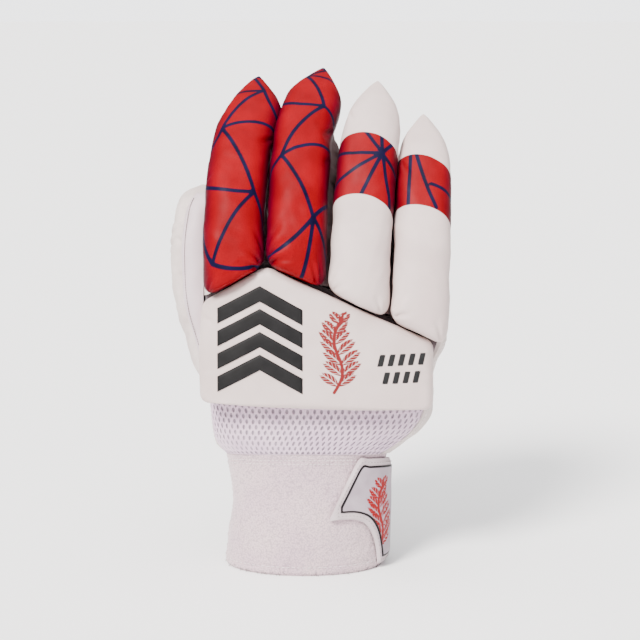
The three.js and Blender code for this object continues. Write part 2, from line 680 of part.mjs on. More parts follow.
const MATERIALS = {
  towelling: new THREE.MeshStandardMaterial({ color: '#dcd6dc', roughness: 0.95, metalness: 0 }),
  strap: new THREE.MeshStandardMaterial({ color: '#dfd8dc', roughness: 0.85, metalness: 0 }),
  label: new THREE.MeshStandardMaterial({ color: '#c3bfc9', roughness: 0.5, metalness: 0 }),
  airmesh: new THREE.MeshStandardMaterial({ color: '#d6cdd9', roughness: 0.9, metalness: 0 }),
  leather: new THREE.MeshStandardMaterial({ color: '#d8d0cf', roughness: 0.6, metalness: 0 }),
  whitePu: new THREE.MeshStandardMaterial({ color: '#e0dada', roughness: 0.5, metalness: 0 }),
  redPu: new THREE.MeshStandardMaterial({ color: '#d32228', roughness: 0.45, metalness: 0 }),
};

function build() {
  const glove = new THREE.Group();
  const add = (name, shape, material) => glove.add(toMesh(name, shape, material));

  const thumbInner = thumbForm(-THUMB_WALL);
  const handInner = handForm(-HAND_WALL, -HAND_OVERRUN, HAND_OVERRUN);
  const tube = handForm(0, 0, 0).subtract(handInner).subtract(thumbInner);
  add('wristband', wristband(), MATERIALS.towelling);
  add('wrist_strap', strap(), MATERIALS.strap);
  add('strap_label', strapLabel(), MATERIALS.label);
  add('hand_mesh', sideTrim(tube, 1, 0), MATERIALS.airmesh);
  add('palm', sideTrim(tube, -1, SEAM_GAP), MATERIALS.leather);

  const handClear = handForm(SEAM_GAP, 0, 1);
  let panel = backPanel().subtract(handForm(CUT_GAP, 0, 0));
  for (let i = 0; i < CHEVRON_COUNT; i++) panel = panel.add(chevron(CHEVRON_TOP_Z - i * CHEVRON_PITCH));
  add('back_panel', panel, MATERIALS.whitePu);

  for (const finger of FINGERS) {
    const coloured = finger.name === 'index' || finger.name === 'middle';
    add(`${finger.name}_roll`, roll(finger), coloured ? MATERIALS.redPu : MATERIALS.whitePu);
    const stall = skin(stallRings(finger, 0)).subtract(skin(stallRings(finger, STALL_WALL).slice(0, -2)));
    add(`${finger.name}_stall`, stallTrim(finger, stall), MATERIALS.leather);
  }
  const indexClear = skin(stallRings(FINGERS[0], -STALL_CUT_GAP));
  const thumbStall = thumbForm(0).subtract(thumbInner).subtract(handClear).subtract(indexClear);
  add('thumb_stall', thumbStall, MATERIALS.leather);
  const guard = thumbGuard()
    .subtract(handClear)
    .subtract(indexClear)
    .subtract(thumbForm(CUT_GAP))
    .subtract(backPanel(CUT_GAP));
  add('thumb_guard', guard, MATERIALS.whitePu);
  return glove;
}

const glove = build();
const bounds = new THREE.Box3().setFromObject(glove);
const middle = bounds.getCenter(new THREE.Vector3());
glove.position.set(-middle.x, -middle.y, -bounds.min.z);

export default glove;
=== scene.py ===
# A right-hand cricket batting glove, seen from the back of the hand, that stands on its wristband.
# Shapes are worked out in millimetres in the glove's design frame and written in metres in the row frame.
import math

import bpy
import numpy as np
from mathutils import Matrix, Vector


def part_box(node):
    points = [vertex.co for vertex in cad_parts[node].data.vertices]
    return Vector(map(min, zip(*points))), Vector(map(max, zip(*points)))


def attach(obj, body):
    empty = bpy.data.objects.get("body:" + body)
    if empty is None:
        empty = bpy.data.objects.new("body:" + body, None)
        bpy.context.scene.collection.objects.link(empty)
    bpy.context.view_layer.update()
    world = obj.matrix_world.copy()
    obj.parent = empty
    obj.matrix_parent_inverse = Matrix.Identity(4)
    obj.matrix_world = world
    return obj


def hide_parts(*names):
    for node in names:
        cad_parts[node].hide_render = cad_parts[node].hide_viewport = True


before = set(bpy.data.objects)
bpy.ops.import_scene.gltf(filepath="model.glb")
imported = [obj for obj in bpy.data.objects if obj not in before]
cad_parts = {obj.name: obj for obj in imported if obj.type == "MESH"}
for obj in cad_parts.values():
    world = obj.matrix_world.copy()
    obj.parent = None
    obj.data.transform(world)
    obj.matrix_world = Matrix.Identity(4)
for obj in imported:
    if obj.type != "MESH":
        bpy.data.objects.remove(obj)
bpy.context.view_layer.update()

MM = 0.001
FAR = 100.0

# Clearances
SEAM_GAP = 0.3
CUT_GAP = 0.55
STALL_CUT_GAP = 1.0
LINE_GAP = 1.4

# Wristband
BAND_HEIGHT = 65.6
BAND_HALF_WIDTH = 46.0
BAND_HALF_DEPTH = 30.0
BAND_WALL = 4.0
BAND_FOOT_WALL = 2.6
BAND_TILT = 0.2

# Strap and label
STRAP_THICKNESS = 2.4
STRAP_TOP_MARGIN = 2.4
STRAP_LOW_EDGE = 3.0
STRAP_CLEARANCE = 0.6
LABEL_CLEARANCE = 0.45
LABEL_THICKNESS = 0.8
LABEL_MARGIN = 4.2
STRIP_LEAST_WIDTH = 1.2

# Hand tube
HAND_TOP = 195.0
HAND_HALF_WIDTH = 70.0
HAND_DEPTH = 60.0
HAND_WALL = 2.2
KNUCKLE_START = 0.56
ROOT_LIFT = 1.5
SIDE_SEAM_DEPTH = -7.0
SIDE_SEAM_ACROSS = -0.134
SIDE_SEAM_RISE = 0.08
SIDE_SEAM_LEVEL = 98.0

# Back panel and its raised bars
PANEL_LEFT = -60.0
PANEL_RIGHT = 70.5
PANEL_BOTTOM = 101.5
PANEL_BOTTOM_SLANT = 4.0
PANEL_LEFT_BULGE = 2.0
PANEL_APEX_X = -24.0
PANEL_APEX_Z = 179.5
PANEL_SHOULDER_LEFT = 158.0
PANEL_SHOULDER_RIGHT = 136.0
PANEL_FRONT = -44.0
PANEL_LEAN = 0.16
PANEL_CORNER = 5.0
PANEL_EDGE_ROUND = 5.0
PANEL_MAX_THICKNESS = 18.0
PANEL_BACKING_GAP = 1.5
PANEL_BOW = 10.0
PANEL_BOW_POWER = 2.4
PANEL_MIDDLE = (5.0, 123.0)
CHEVRON_COUNT = 4
CHEVRON_X = -27.0
CHEVRON_HALF_WIDTH = 24.0
CHEVRON_BAR = 8.6
CHEVRON_PITCH = 12.6
CHEVRON_RISE = 13.0
CHEVRON_TOP_Z = 169.0
CHEVRON_RELIEF = 0.9

# Finger rolls and stalls
FINGER_PITCH = HAND_HALF_WIDTH / 2
FINGER_TOP = 285.0
FINGER_REACH = 56.0
ROLL_HALF_WIDTH = (FINGER_PITCH - 1) / 2
ROLL_BASE_Y = -27.0
ROLL_SQUARE = 2.4
ROLL_FRONT_DEPTH = 12.5
ROLL_BACK_DEPTH = 12.5
ROLL_SEAT_GAP = 0.9
ROLL_SEAT_LEAN = 0.3
ROLL_TIP_TAPER = 60.0
ROLL_BASE_ROUND = 9.0
ROLL_BASE_SLANT = 0.86
ROLL_SLANT_REACH = 0.35
ROLL_SLANT_POWER = 1.5
ROLL_FOOT_SHARE = 0.6
STALL_HALF_WIDTH = (FINGER_PITCH - 9) / 2
STALL_HALF_DEPTH = 11.0
STALL_WALL = 1.6
STALL_ROOT_RUN = 18.0
STALL_BEHIND_ROLL = 22.0
STALL_LENGTH_SHARE = 0.86
STALL_ASIDE_REACH = 1 / 3

# Thumb
THUMB_HALF_WIDTH = 11.2
THUMB_HALF_DEPTH = 13.0
THUMB_WALL = 1.8
THUMB_LEAST_HALF = 0.5
THUMB_SLANT = 2.0
THUMB_SQUARE = 2.2
GUARD_HALF_WIDTH = 7.4
GUARD_HALF_DEPTH = 7.0
GUARD_ASIDE = 3.4
GUARD_SINK = 2.8
GUARD_SLANT = 1.0
GUARD_SQUARE = 2.3


def table(names, *rows):
    """Named columns from rows of numbers."""
    return dict(zip(names.split(), np.array(rows, float).T))


# Shares of the roll's or stall's half width, of the finger pitch and of the finger top and reach.
FINGER_SHARES = table(
    "width aside base low high tip top reach",
    (1, 0.19, -1.206, -1.171, -1.046, -0.843, 0.984, 0.893),
    (0.982, 0.27, -0.197, -0.154, -0.054, 0.246, 1, 1),
    (1, -0.08, 0.8, 0.877, 1.009, 1.154, 0.975, 0.821),
    (0.947, -0.08, 1.771, 1.837, 1.874, 1.914, 0.909, 0.679),
)
FINGERS = {
    name: {key: column[i] for key, column in FINGER_SHARES.items()}
    for i, name in enumerate(("index", "middle", "ring", "little"))
}
FINGER_LEAN = table(
    "along rise reach",
    (0, 0, 0), (0.2, 0.24, 0.09), (0.4, 0.47, 0.25), (0.6, 0.67, 0.47), (0.8, 0.85, 0.72), (1, 1, 1),
)
ROLL_TIP = table(
    "at width depth",
    (0, 0.04, 0.05), (0.06, 0.19, 0.16), (0.17, 0.4, 0.33), (0.33, 0.66, 0.54), (0.5, 0.85, 0.73),
    (0.72, 0.97, 0.9), (1, 1, 1),
)
STALL_SHAPE = table(
    "along width depth square",
    (0, 1.27, 1.2, 4.5), (0.16, 1.12, 1.1, 3), (0.34, 1, 1.04, 2.3), (0.6, 1, 1, 2.2), (0.8, 0.95, 0.94, 2.1),
    (0.92, 0.76, 0.74, 2), (0.98, 0.44, 0.42, 2), (1, 0.12, 0.12, 2),
)
BAND_SHAPE = table(
    "up width depth shift",
    (0, 0.955, 0.94, -0.05), (0.02, 0.99, 0.985, -0.055), (0.07, 1.005, 1, -0.055),
    (0.28, 0.995, 0.995, -0.04), (0.55, 0.99, 0.97, -0.025), (0.82, 0.99, 0.955, -0.025),
    (1, 1.015, 0.965, -0.025),
)
HAND_SHAPE = table(
    "up left right front back tilt square",
    (0.338, -0.68, 0.675, -0.478, 0.455, 1, 2.2),
    (0.362, -0.755, 0.77, -0.492, 0.49, 0.95, 2.3),
    (0.405, -0.79, 0.925, -0.5, 0.52, 0.7, 2.4),
    (0.47, -0.81, 1.03, -0.5, 0.53, 0.4, 2.5),
    (0.56, -0.835, 1.035, -0.485, 0.5, 0, 2.6),
    (0.66, -0.845, 1.04, -0.44, 0.46, 0, 2.8),
    (0.78, -0.85, 1.07, -0.385, 0.36, 0, 3.3),
    (0.9, -0.85, 1.105, -0.33, 0.23, 0, 4),
    (1, -0.85, 1.125, -0.3, 0.145, 0, 4.6),
)
STRAP_OUTLINE = table(
    "angle low high",
    (-73, 0.5, 0.52), (-66, 0.505, 0.68), (-57, 0.5, 0.87), (-50, 0.48, 1), (-43, 0.44, 1), (-37, 0.375, 1),
    (-31, 0.27, 1), (-27, 0.14, 1), (-25, 0.045, 1), (0, 0.045, 1), (60, 0.06, 0.98), (110, 0.1, 0.94),
    (152, 0.12, 0.92),
)
LABEL_ANGLES = (-66.5, 62)
THUMB_LINE = table(
    "up out back size",
    (0.5, -0.67, 0.16, 0.8), (0.585, -0.79, 0.17, 0.95), (0.68, -0.865, 0.19, 1.03),
    (0.78, -0.94, 0.23, 1.07), (0.88, -0.965, 0.3, 1.1), (0.97, -0.965, 0.37, 1.11),
    (1.04, -0.945, 0.44, 1.08), (1.08, -0.925, 0.48, 0.98), (1.105, -0.9, 0.51, 0.7),
    (1.115, -0.88, 0.52, 0.2),
)


def read(rows, column, at):
    """A column of a table at any place of its first column, with a smooth curve through its rows."""
    x, y = next(iter(rows.values())), rows[column]
    at = np.asarray(at, float)
    slope = np.empty_like(y)
    slope[1:-1] = (y[2:] - y[:-2]) / (x[2:] - x[:-2])
    slope[0] = (y[1] - y[0]) / (x[1] - x[0])
    slope[-1] = (y[-1] - y[-2]) / (x[-1] - x[-2])
    i = np.clip(np.searchsorted(x, at, side="right") - 1, 0, len(x) - 2)
    span = x[i + 1] - x[i]
    t = np.clip((at - x[i]) / span, 0, 1)
    t2, t3 = t * t, t * t * t
    ends = (2 * t3 - 3 * t2 + 1) * y[i] + (3 * t2 - 2 * t3) * y[i + 1]
    return ends + ((t3 - 2 * t2 + t) * slope[i] + (t3 - t2) * slope[i + 1]) * span


def round_square(turn, square):
    """A point of a rounded square of half size 1: a square of 2 is a circle."""
    c, s = np.cos(turn), np.sin(turn)
    power = 2 / square
    return np.sign(c) * np.abs(c) ** power, np.sign(s) * np.abs(s) ** power


def stack(x, y, z):
    return np.stack(np.broadcast_arrays(x, y, z), -1).astype(float)


# Forms of the glove, worked out as its plain solids are


def band_point(turn, up, offset):
    half_width = BAND_HALF_WIDTH * read(BAND_SHAPE, "width", up) + offset
    half_depth = BAND_HALF_DEPTH * read(BAND_SHAPE, "depth", up) + offset
    x = BAND_HALF_WIDTH * read(BAND_SHAPE, "shift", up) + half_width * np.cos(turn)
    y = half_depth * np.sin(turn)
    return stack(x, y, up * (BAND_HEIGHT - BAND_TILT * y))


def strip_point(angle, across, margin, offset):
    """A point of a strip on the wristband: across goes from -1 at its lower edge to 1 at its upper edge."""
    turn = np.radians(angle)
    top = BAND_HEIGHT - BAND_TILT * band_point(turn, 1, 0)[..., 1]
    low = np.maximum(read(STRAP_OUTLINE, "low", angle) * BAND_HEIGHT, STRAP_LOW_EDGE) + margin
    high = read(STRAP_OUTLINE, "high", angle) * top - STRAP_TOP_MARGIN - margin
    half = np.maximum(high - low, STRIP_LEAST_WIDTH) / 2
    return band_point(turn, ((low + high) / 2 + across * half) / top, offset)


def base_slope(x):
    left = (PANEL_APEX_Z - PANEL_SHOULDER_LEFT) / (PANEL_APEX_X - PANEL_LEFT)
    right = (PANEL_SHOULDER_RIGHT - PANEL_APEX_Z) / (PANEL_RIGHT - PANEL_APEX_X)
    return np.where(np.asarray(x) < PANEL_APEX_X, left, right)


def root_height(x):
    return PANEL_APEX_Z + ROOT_LIFT + base_slope(x) * (x - PANEL_APEX_X)


def hand_sides(up, offset=0.0):
    """Where the hand tube's left, right, front and back lie at a height."""
    reach = dict(left=HAND_HALF_WIDTH, right=HAND_HALF_WIDTH, front=HAND_DEPTH, back=HAND_DEPTH)
    out = dict(left=-offset, right=offset, front=-offset, back=offset)
    return [reach[key] * read(HAND_SHAPE, key, up) + out[key] for key in reach]


def hand_point(turn, up, offset):
    left, right, front, back = hand_sides(up, offset)
    c, s = round_square(turn, read(HAND_SHAPE, "square", up))
    x = (left + right) / 2 + (right - left) / 2 * c
    y = (front + back) / 2 + (back - front) / 2 * s
    share = np.maximum((up - KNUCKLE_START) / (1 - KNUCKLE_START), 0)
    level = np.minimum(up, KNUCKLE_START) * HAND_TOP
    z = level + (root_height(x) - level) * share
    return stack(x, y, z - BAND_TILT * read(HAND_SHAPE, "tilt", up) * y)


def hand_front(x, z):
    """Depth of the hand tube's front surface at a place seen from the front."""
    level = KNUCKLE_START * HAND_TOP
    share = np.minimum((z - level) / (root_height(x) - level), 1)
    low = np.maximum(z / HAND_TOP, HAND_SHAPE["up"][0])
    up = np.where(share > 0, KNUCKLE_START + (1 - KNUCKLE_START) * share, low)
    left, right, front, back = hand_sides(up)
    across = np.minimum(np.abs(x - (left + right) / 2) / ((right - left) / 2), 1)
    square = read(HAND_SHAPE, "square", up)
    return (front + back) / 2 - (back - front) / 2 * (1 - across**square) ** (1 / square)


def panel_front(x, z):
    across = np.abs(x - (PANEL_LEFT + PANEL_RIGHT) / 2) / ((PANEL_RIGHT - PANEL_LEFT) / 2)
    return PANEL_FRONT + (z - PANEL_BOTTOM) * PANEL_LEAN + PANEL_BOW * across**PANEL_BOW_POWER


def panel_back(x, z):
    return np.minimum(hand_front(x, z) - PANEL_BACKING_GAP, panel_front(x, z) + PANEL_MAX_THICKNESS)


def panel_outline(count):
    """The panel's outline seen from the front, with rounded corners, as evenly spaced points."""
    corners = np.array([
        (PANEL_LEFT - PANEL_LEFT_BULGE / 2, PANEL_BOTTOM + PANEL_BOTTOM_SLANT / 4),
        (PANEL_RIGHT, PANEL_BOTTOM - PANEL_BOTTOM_SLANT * 3 / 4),
        (PANEL_RIGHT, PANEL_SHOULDER_RIGHT),
        (PANEL_APEX_X, PANEL_APEX_Z),
        (PANEL_LEFT, PANEL_SHOULDER_LEFT),
        (PANEL_LEFT - PANEL_LEFT_BULGE, (PANEL_BOTTOM + PANEL_SHOULDER_LEFT) / 2),
    ])
    path = []
    for i, corner in enumerate(corners):
        to_before = corners[i - 1] - corner
        to_after = corners[(i + 1) % len(corners)] - corner
        start = corner + PANEL_CORNER * to_before / np.linalg.norm(to_before)
        end = corner + PANEL_CORNER * to_after / np.linalg.norm(to_after)
        t = np.linspace(0, 1, 13)[:, None]
        path.append((1 - t) ** 2 * start + 2 * t * (1 - t) * corner + t**2 * end)
    path = np.concatenate(path + [path[0][:1]])
    walked = np.concatenate([[0], np.cumsum(np.linalg.norm(np.diff(path, axis=0), axis=1))])
    at = np.linspace(0, walked[-1], count, endpoint=False)
    return np.stack([np.interp(at, walked, path[:, k]) for k in range(2)], -1)


def finger_frame(finger, along):
    """Middle line of a roll, and its side, behind and along directions."""
    base_x = finger["base"] * FINGER_PITCH
    slope = float(base_slope(base_x))
    base_z = PANEL_APEX_Z + slope * (base_x - PANEL_APEX_X) + LINE_GAP
    tip_y, tip_z = finger["reach"] * FINGER_REACH, finger["top"] * FINGER_TOP
    pitches = [finger[key] for key in ("base", "low", "high", "tip")]
    across = table("along pitches", *zip((0, 1 / 3, 2 / 3, 1), pitches))

    def place(t):
        x = FINGER_PITCH * read(across, "pitches", t)
        y = ROLL_BASE_Y + (tip_y - ROLL_BASE_Y) * read(FINGER_LEAN, "reach", t)
        return stack(x, y, base_z + (tip_z - base_z) * read(FINGER_LEAN, "rise", t))

    along = np.asarray(along, float)
    tangent = unit(place(np.minimum(along + 0.02, 1)) - place(np.maximum(along - 0.02, 0)))
    behind = unit(-np.cross((1, 0, 0), tangent))
    side = unit(-np.cross(tangent, behind))
    return place(along), side, behind, tangent


def unit(v):
    return v / np.maximum(np.linalg.norm(v, axis=-1, keepdims=True), 1e-9)


def finger_length(finger):
    line = finger_frame(finger, np.linspace(0, 1, 21))[0]
    return np.linalg.norm(np.diff(line, axis=0), axis=1).sum()


def stall_aside(finger, share):
    return finger["aside"] * STALL_HALF_WIDTH * np.minimum(share / STALL_ASIDE_REACH, 1)


def stall_front(finger, along, across):
    """How far behind a roll's middle line the front of its stall lies."""
    share = along / STALL_LENGTH_SHARE
    half_width = STALL_HALF_WIDTH * read(STALL_SHAPE, "width", share)
    off = np.abs(across - stall_aside(finger, share)) / half_width
    square = read(STALL_SHAPE, "square", share)
    half_depth = STALL_HALF_DEPTH * read(STALL_SHAPE, "depth", share)
    depth = STALL_BEHIND_ROLL - half_depth * (1 - np.minimum(off, 1) ** square) ** (1 / square)
    return np.where((share < 1) & (off < 1), depth, FAR)


def stall_ring(finger, share, turn, offset):
    at, side, behind, _ = finger_frame(finger, share * STALL_LENGTH_SHARE)
    at = at + behind * STALL_BEHIND_ROLL
    at[..., 0] += stall_aside(finger, share)
    width = STALL_HALF_WIDTH * read(STALL_SHAPE, "width", share) + offset
    depth = STALL_HALF_DEPTH * read(STALL_SHAPE, "depth", share) + offset
    c, s = round_square(turn, read(STALL_SHAPE, "square", share))
    return at + side * (c * width)[..., None] + behind * (s * depth)[..., None]


def thumb_ring(up, turn, offset):
    size = read(THUMB_LINE, "size", up)
    c, s = round_square(turn, THUMB_SQUARE)
    x = HAND_HALF_WIDTH * read(THUMB_LINE, "out", up)
    y = HAND_DEPTH * read(THUMB_LINE, "back", up)
    return stack(
        x + c * np.maximum(THUMB_HALF_WIDTH * size + offset, THUMB_LEAST_HALF),
        y + s * np.maximum(THUMB_HALF_DEPTH * size + offset, THUMB_LEAST_HALF),
        HAND_TOP * up - s * THUMB_SLANT,
    )


def guard_ring(up, turn, offset):
    size = read(THUMB_LINE, "size", up)
    c, s = round_square(turn, GUARD_SQUARE)
    x = HAND_HALF_WIDTH * read(THUMB_LINE, "out", up) + GUARD_ASIDE
    seat = HAND_DEPTH * read(THUMB_LINE, "back", up) - THUMB_HALF_DEPTH * size
    y = seat - GUARD_HALF_DEPTH + GUARD_SINK
    return stack(
        x + c * (GUARD_HALF_WIDTH * size + offset),
        y + s * (GUARD_HALF_DEPTH * size + offset),
        HAND_TOP * up - s * GUARD_SLANT,
    )


# The row frame's place in the design frame, from the wristband's own box
design_low = np.array([
    band_point(math.pi, BAND_SHAPE["up"], 0)[:, 0].min(),
    band_point(-math.pi / 2, BAND_SHAPE["up"], 0)[:, 1].min(),
    0,
])
SHIFT = np.array(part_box("wristband")[0]) / MM - design_low
SHIFT[2] = 0


# Mesh helpers


def show(name, data):
    """A new object with this data, put in the scene."""
    made = bpy.data.objects.new(name, data)
    bpy.context.collection.objects.link(made)
    return made


def bare(name, points, edges, faces):
    """An open mesh object, such as a net or a line, from points in the design frame."""
    mesh = bpy.data.meshes.new(name)
    mesh.from_pydata(((np.reshape(points, (-1, 3)) + SHIFT) * MM).tolist(), edges, faces)
    return show(name, mesh)


def baked(piece):
    """Keeps what a piece's modifiers make of it as its plain mesh, and clears them."""
    graph = bpy.context.evaluated_depsgraph_get()
    result = piece.evaluated_get(graph)
    piece.data = bpy.data.meshes.new_from_object(result, preserve_all_data_layers=True, depsgraph=graph)
    piece.modifiers.clear()
    return piece.data


def turns(count, first=0.0):
    return first + np.arange(count) / count * 2 * math.pi


def faces_between(rows, columns, wrap):
    r, c = np.meshgrid(np.arange(rows - 1), np.arange(columns if wrap else columns - 1), indexing="ij")
    after = (c + 1) % columns
    corners = [r * columns + c, r * columns + after, (r + 1) * columns + after, (r + 1) * columns + c]
    return np.stack(corners, -1).reshape(-1, 4)


def solid(name, points, quads, triangles, material, fields=None, sharp=55):
    """A closed mesh object with its faces turned outwards. fields are named values at its points."""
    triangles = np.asarray(triangles, int).reshape(-1, 3)
    split = np.concatenate([quads[:, [0, 1, 2]], quads[:, [0, 2, 3]], triangles])
    p, q, r = (points[split[:, k]] for k in range(3))
    if np.einsum("ij,ij->", p, np.cross(q, r)) < 0:
        quads, triangles = quads[:, ::-1], triangles[:, ::-1]
    mesh = bpy.data.meshes.new(name)
    mesh.from_pydata(((points + SHIFT) * MM).tolist(), [], quads.tolist() + triangles.tolist())
    for key, values in (fields or {}).items():
        kept = mesh.attributes.new(key, "FLOAT", "POINT")
        kept.data.foreach_set("value", np.ravel(values).astype(np.float32))
    mesh.shade_smooth()
    mesh.set_sharp_from_angle(angle=math.radians(sharp))
    if material:
        mesh.materials.append(material)
    return show(name, mesh)


def loft(name, rings, material=None, fields=None, loop=False, sharp=55):
    """Joins rings of points into a closed solid with a fan over each end, or round in a loop."""
    rows, columns = rings.shape[:2]
    points = rings.reshape(-1, 3)
    quads = faces_between(rows, columns, True)
    first = np.arange(columns)
    last = first + (rows - 1) * columns
    if loop:
        closing = np.stack([last, np.roll(last, -1), np.roll(first, -1), first], -1)
        return solid(name, points, np.concatenate([quads, closing]), [], material, fields, sharp)
    hubs = len(points)
    points = np.concatenate([points, [rings[0].mean(0), rings[-1].mean(0)]])
    triangles = np.concatenate([
        np.stack([np.full(columns, hubs), np.roll(first, -1), first], -1),
        np.stack([np.full(columns, hubs + 1), last, np.roll(last, -1)], -1),
    ])
    fields = {
        key: np.concatenate([np.ravel(values), [np.mean(values[0]), np.mean(values[-1])]])
        for key, values in (fields or {}).items()
    }
    return solid(name, points, quads, triangles, material, fields, sharp)


def slab(name, outer, inner, material=None, fields=None, sharp=55):
    """A closed wall between two grids of points of one size."""
    rows, columns = outer.shape[:2]
    count = rows * columns
    grid = faces_between(rows, columns, False)
    index = np.arange(count).reshape(rows, columns)
    rim = np.concatenate([index[0, :-1], index[:-1, -1], index[-1, :0:-1], index[:0:-1, 0]])
    after = np.roll(rim, -1)
    walls = np.stack([rim, rim + count, after + count, after], -1)
    quads = np.concatenate([grid, grid[:, ::-1] + count, walls])
    points = np.concatenate([outer.reshape(-1, 3), inner.reshape(-1, 3)])
    plain = np.full(count, FAR)
    fields = {key: np.concatenate([np.ravel(values), plain]) for key, values in (fields or {}).items()}
    return solid(name, points, quads, [], material, fields, sharp)


def outward(grid, wrap=True):
    """Directions away from a grid whose rows go up and whose columns turn anticlockwise."""
    up = np.gradient(grid, axis=0)
    across = np.roll(grid, -1, 1) - np.roll(grid, 1, 1) if wrap else np.gradient(grid, axis=1)
    return unit(np.cross(across, up))


def waves(points, size, seed, count=12):
    """Smooth unevenness, mostly between -1 and 1, with features about size across."""
    rng = np.random.default_rng(seed)
    directions = unit(rng.normal(size=(count, 3))) * rng.uniform(0.6, 1.5, (count, 1))
    phases = rng.uniform(0, 2 * math.pi, count)
    return np.sin(points @ directions.T * (2 * math.pi / size) + phases).sum(-1) / math.sqrt(count)


def near(value, middle, spread):
    """1 at a middle value, falling smoothly to 0 on both sides of it."""
    return np.exp(-(((value - middle) / spread) ** 2))


def to_segment(u, v, start, end):
    """Distance from points to a straight line between two points, and the share along it."""
    line = np.subtract(end, start)
    share = np.clip(((u - start[0]) * line[0] + (v - start[1]) * line[1]) / line.dot(line), 0, 1)
    return np.hypot(u - start[0] - share * line[0], v - start[1] - share * line[1]), share


def to_line(u, v, path):
    return np.min([to_segment(u, v, a, b)[0] for a, b in zip(path[:-1], path[1:])], axis=0)


def creases(u, v, rows):
    """Pinched folds: each starts at its deep end. Rows give start, end, depth and width in millimetres."""
    total = np.zeros(np.broadcast(u, v).shape)
    for start, end, depth, width in rows:
        away, share = to_segment(u, v, start, end)
        away = away / (width * (0.5 + 0.9 * share))
        total += depth * (1 - share) ** 0.7 * (1 - 1.6 * away**2) * np.exp(-(away**2))
    return total


CUT_SHARP_ANGLE = 40


def cut(piece, cutters):
    """Cuts other solids out of a piece and removes them."""
    for cutter in cutters:
        modifier = piece.modifiers.new(cutter.name, "BOOLEAN")
        modifier.operation = "DIFFERENCE"
        modifier.solver = "MANIFOLD"
        modifier.object = cutter
    mesh = baked(piece)
    mesh.shade_smooth()
    mesh.set_sharp_from_angle(angle=math.radians(CUT_SHARP_ANGLE))
    for cutter in cutters:
        bpy.data.objects.remove(cutter)
    return piece


def dress(piece, slot, *nodes, fill=None):
    """The piece rides with the glove and stands for CAD nodes, which it hides. Its slot is not used."""
    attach(piece, "root")
    if nodes:
        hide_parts(*nodes)
    return piece


# Node helpers


def add(tree, kind, inputs=None, **settings):
    """Adds a node. settings are its properties, inputs its sockets by name or number: a value or a link."""
    made = tree.nodes.new(kind)
    for key, value in settings.items():
        setattr(made, key, value)
    for key, value in (inputs or {}).items():
        if isinstance(value, bpy.types.NodeSocket):
            tree.links.new(value, made.inputs[key])
        else:
            made.inputs[key].default_value = value
    return made


def linear(code):
    """An sRGB hex colour as linear red, green, blue and alpha."""
    values = [int(code[i : i + 2], 16) / 255 for i in (1, 3, 5)]
    return [v / 12.92 if v <= 0.04045 else ((v + 0.055) / 1.055) ** 2.4 for v in values] + [1.0]


def begin(name, **sockets):
    """A material with its shader's plain values set, and the piece's own coordinates."""
    made = bpy.data.materials.new(name)
    made.use_nodes = True
    tree = made.node_tree
    shader = tree.nodes["Principled BSDF"]
    for key, value in sockets.items():
        shader.inputs[key.replace("_", " ")].default_value = value
    place = add(tree, "ShaderNodeTexCoord").outputs["Object"]
    return made, tree, shader, place


def bumps(tree, shader, *layers):
    """Joins reliefs to a shader, one over another. Each has its height's node, strength and depth in
    millimetres, and a depth below zero presses in where the height rises."""
    under = None
    for height, strength, depth in layers:
        inputs = {"Strength": strength, "Distance": abs(depth) * MM, "Height": height.outputs[0]}
        if under:
            inputs["Normal"] = under
        under = add(tree, "ShaderNodeBump", inputs, invert=depth < 0).outputs[0]
    tree.links.new(under, shader.inputs["Normal"])


def leather_skin(tree, shader, place, colour, grain, wrinkle, depth, roughness):
    """Joins a colour to a shader with a pebbled grain and soft wrinkles, both sizes in millimetres."""
    pores = {"Vector": place, "Scale": 1 / (grain * MM)}
    pebbles = add(tree, "ShaderNodeTexVoronoi", pores, feature="SMOOTH_F1")
    soft = add(tree, "ShaderNodeTexNoise", {"Vector": place, "Scale": 1 / (wrinkle * MM), "Detail": 4.0})
    fine = add(tree, "ShaderNodeTexNoise", {"Vector": place, "Scale": 1 / (0.3 * MM), "Detail": 2.0})
    gloss = add(tree, "ShaderNodeMapRange", {0: soft.outputs[0], 3: roughness - 0.07, 4: roughness + 0.09})
    tree.links.new(colour, shader.inputs["Base Color"])
    tree.links.new(gloss.outputs[0], shader.inputs["Roughness"])
    bumps(tree, shader, (soft, 0.5, 4 * depth), (pebbles, 0.45, depth), (fine, 0.3, 0.5 * depth))


def tones(tree, place, size, low, high):
    """A colour that drifts between two tones over patches of a size in millimetres."""
    drift = add(tree, "ShaderNodeTexNoise", {"Vector": place, "Scale": 1 / (size * MM), "Detail": 3.0})
    spread = add(tree, "ShaderNodeMapRange", {0: drift.outputs[0], 1: 0.35, 2: 0.65})
    inputs = {0: spread.outputs[0], 6: linear(low), 7: linear(high)}
    return add(tree, "ShaderNodeMix", inputs, data_type="RGBA").outputs[2]


def print_and_painted_shade(tree, colour, attribute, ink, soft=0.18):
    """Ink, or on the lining painted shade, laid over a colour where a distance kept at the points is below
    zero.
    """
    edge = add(tree, "ShaderNodeAttribute", attribute_name=attribute)
    mask = add(tree, "ShaderNodeMapRange", {0: edge.outputs["Fac"], 1: -soft, 2: soft, 3: 1.0, 4: 0.0})
    mix = add(tree, "ShaderNodeMix", {0: mask.outputs[0], 6: colour, 7: ink}, data_type="RGBA")
    return mix.outputs[2]


# Finishes


def coated_leather(name, low, high):
    """Polyurethane-coated leather, calendered: soft satin, hardly any grain and a faint drift of tone."""
    made, tree, shader, place = begin(name, IOR=1.47, Specular_IOR_Level=0.42)
    colour = tones(tree, place, 26, low, high)
    colour = print_and_painted_shade(tree, colour, "red_print", linear("#6c0002"))
    colour = print_and_painted_shade(tree, colour, "black_print", linear("#080708"))
    leather_skin(tree, shader, place, colour, grain=0.7, wrinkle=7, depth=0.03, roughness=0.47)
    return made


